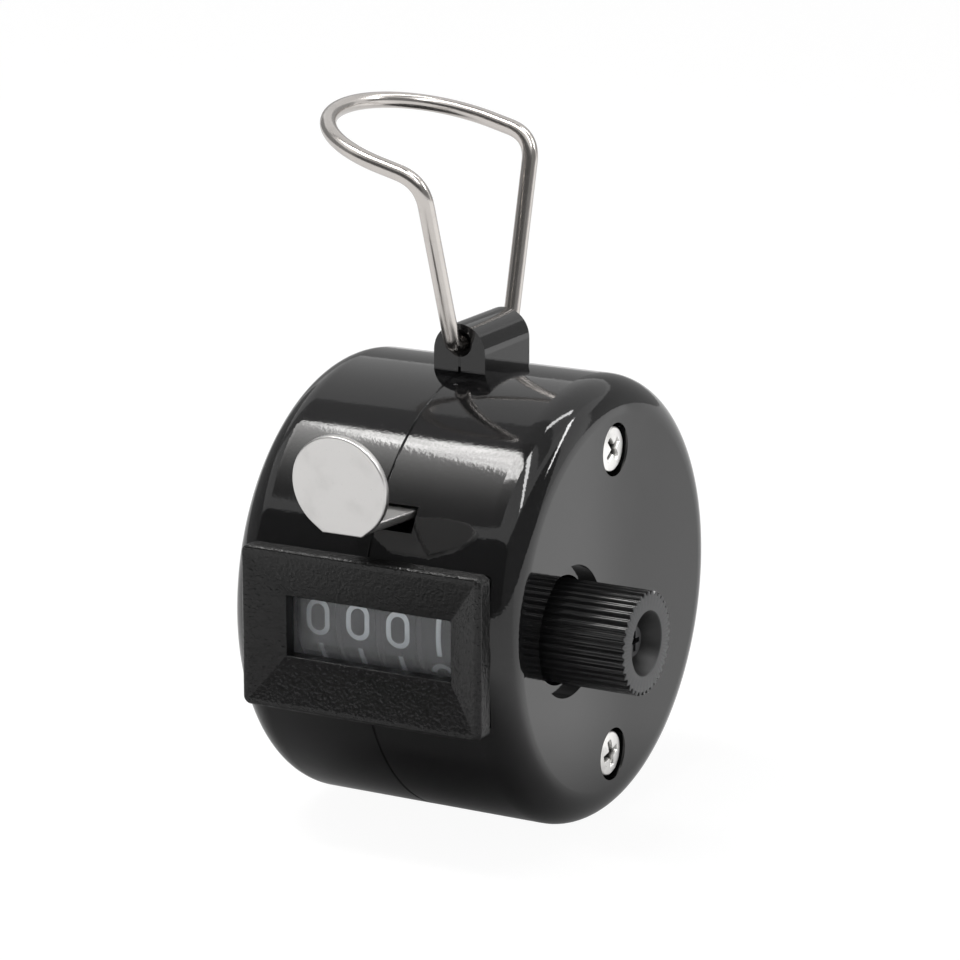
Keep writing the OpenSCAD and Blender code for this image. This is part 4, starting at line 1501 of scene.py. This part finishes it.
        # Painted light and shade behind the drum, for reflections only: lifted on the right, lowered on the
        # left.
        x, y = shader.axis("X"), shader.axis("Y")
        aside_shade = (y - x * self.aside_slope).step(*self.aside_mm)
        behind = mirrored * y.step(*self.aside_start)
        tone = behind * (self.aside_light_lift - aside_shade * self.aside_shade_fall) + 1.0
        bright = shader.blend(painted_contact_shadow * mirrored, tone, grey(self.contact_shadow_tone))
        white = shader.glow(bright, self.floor_glow)
        shader.finish(shader.layer(shader.seen() * self.white_share, matte, white))
        dress(floor, material)

    def build_world(self) -> None:
        """White surroundings for what is seen, and for the rest a fill that falls off with height."""
        world = bpy.data.worlds.new("studio")
        bpy.context.scene.world = world
        shader = Shader(world, "ShaderNodeOutputWorld")
        direction = shader.add("ShaderNodeTexCoord", {}, {}, "Generated")
        height = shader.add("ShaderNodeSeparateXYZ", {}, {0: direction}, "Z")
        fill = shader.blend(height.step(*self.fill_rise), grey(self.fill_low), grey(self.fill_high))
        tone = shader.blend(shader.seen(), fill, WHITE)
        shader.finish(shader.add("ShaderNodeBackground", {}, {"Color": tone, "Strength": 1.0}))

    def build_panel(self) -> None:
        """Overhead light panel with a slanted end: full at its back, then a cubic fall to the front edge."""
        (left, right), (front, back) = self.panel_x, self.panel_y
        middle = ((left + right) / 2.0, (front + back) / 2.0, self.panel_z)
        half_x, half_y = (right - left) / 2.0, (back - front) / 2.0
        panel = self.rectangle("light_panel", middle, (half_x, 0.0, 0.0), (0.0, half_y, 0.0))
        material, shader = new_shader("light_panel_fading")
        x, y = shader.axis("X"), shader.axis("Y")
        corner_x, corner_y = self.panel_corner
        soft, back_soft = self.panel_soft, self.panel_back_soft
        slanted = ((x - corner_x) * self.panel_slant + (y - corner_y)).step(-soft, soft)
        inside = 1.0 - (y + (x - corner_x) * self.panel_skew).step(-back_soft, back_soft)
        full = slanted * inside * y.step(self.panel_front - soft, self.panel_front + soft)
        rise = (y - front / MM) * (MM / (back - front))
        facets = self.facets.mask(shader) * self.facets.tone + (1.0 - self.facets.tone)
        levels = (self.panel_dark, self.panel_fade, self.panel_full)
        dark, fade, bright = (scaled(self.warm, level) for level in levels)
        dim = shader.blend(inside * rise * rise * rise, dark, fade)
        shader.finish(shader.glow(shader.blend(full * facets, dim, bright), 1.0))
        dress(panel, material)
        panel.visible_camera = False

    def build_cards(self) -> None:
        """Cards that only reflections see."""
        for card in self.cards:
            material, shader = new_shader(card.name)
            shader.finish(shader.glow(WHITE, card.glow))
            sheet = self.rectangle(card.name, card.middle, card.first, card.second)
            dress(sheet, material)
            sheet.visible_camera = False
            sheet.visible_diffuse = False
            sheet.visible_shadow = False
            sheet.visible_transmission = False

    def build_camera(self) -> None:
        """Camera at the photograph's viewing angle, aimed from the drum's middle."""
        azimuth, elevation = math.radians(self.azimuth_deg), math.radians(self.elevation_deg)
        level = math.cos(elevation)
        right = np.array([math.cos(azimuth), math.sin(azimuth), 0.0])
        back = np.array([math.sin(azimuth) * level, -math.cos(azimuth) * level, math.sin(elevation)])
        up = np.cross(back, right)
        seam = np.array([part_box("left_shell")[1].x / MM, 0.0, 0.0])
        place = seam + self.aim_right * right + self.aim_up * up + self.distance * back
        data = bpy.data.cameras.new("photo_camera")
        data.lens = self.lens_mm
        data.sensor_width = self.sensor_mm
        data.clip_start = self.near_clip
        camera = bpy.data.objects.new("photo_camera", data)
        bpy.context.scene.collection.objects.link(camera)
        matrix = np.eye(4)
        matrix[:3] = np.column_stack([right, up, back, place * MM])
        camera.matrix_world = Matrix(matrix.tolist())
        bpy.context.scene.camera = camera

    def build(self) -> None:
        """Set up camera, floor, surroundings, light and cards."""
        self.build_camera()
        self.build_floor()
        self.build_world()
        self.build_panel()
        self.build_cards()
        bpy.context.scene.view_settings.view_transform = "Standard"
        log.info("studio ready")


def main() -> None:
    logging.basicConfig(level=logging.INFO, format="%(name)s: %(message)s")
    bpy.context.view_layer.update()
    parts = (
        Studio(), Case(), FingerRing(), WindowFrame(), Register(),
        ThumbLever(), ResetKnob(), CaseScrews(), Movement(),
    )
    for part in parts:
        part.build()


if __name__ == "__main__":
    main()
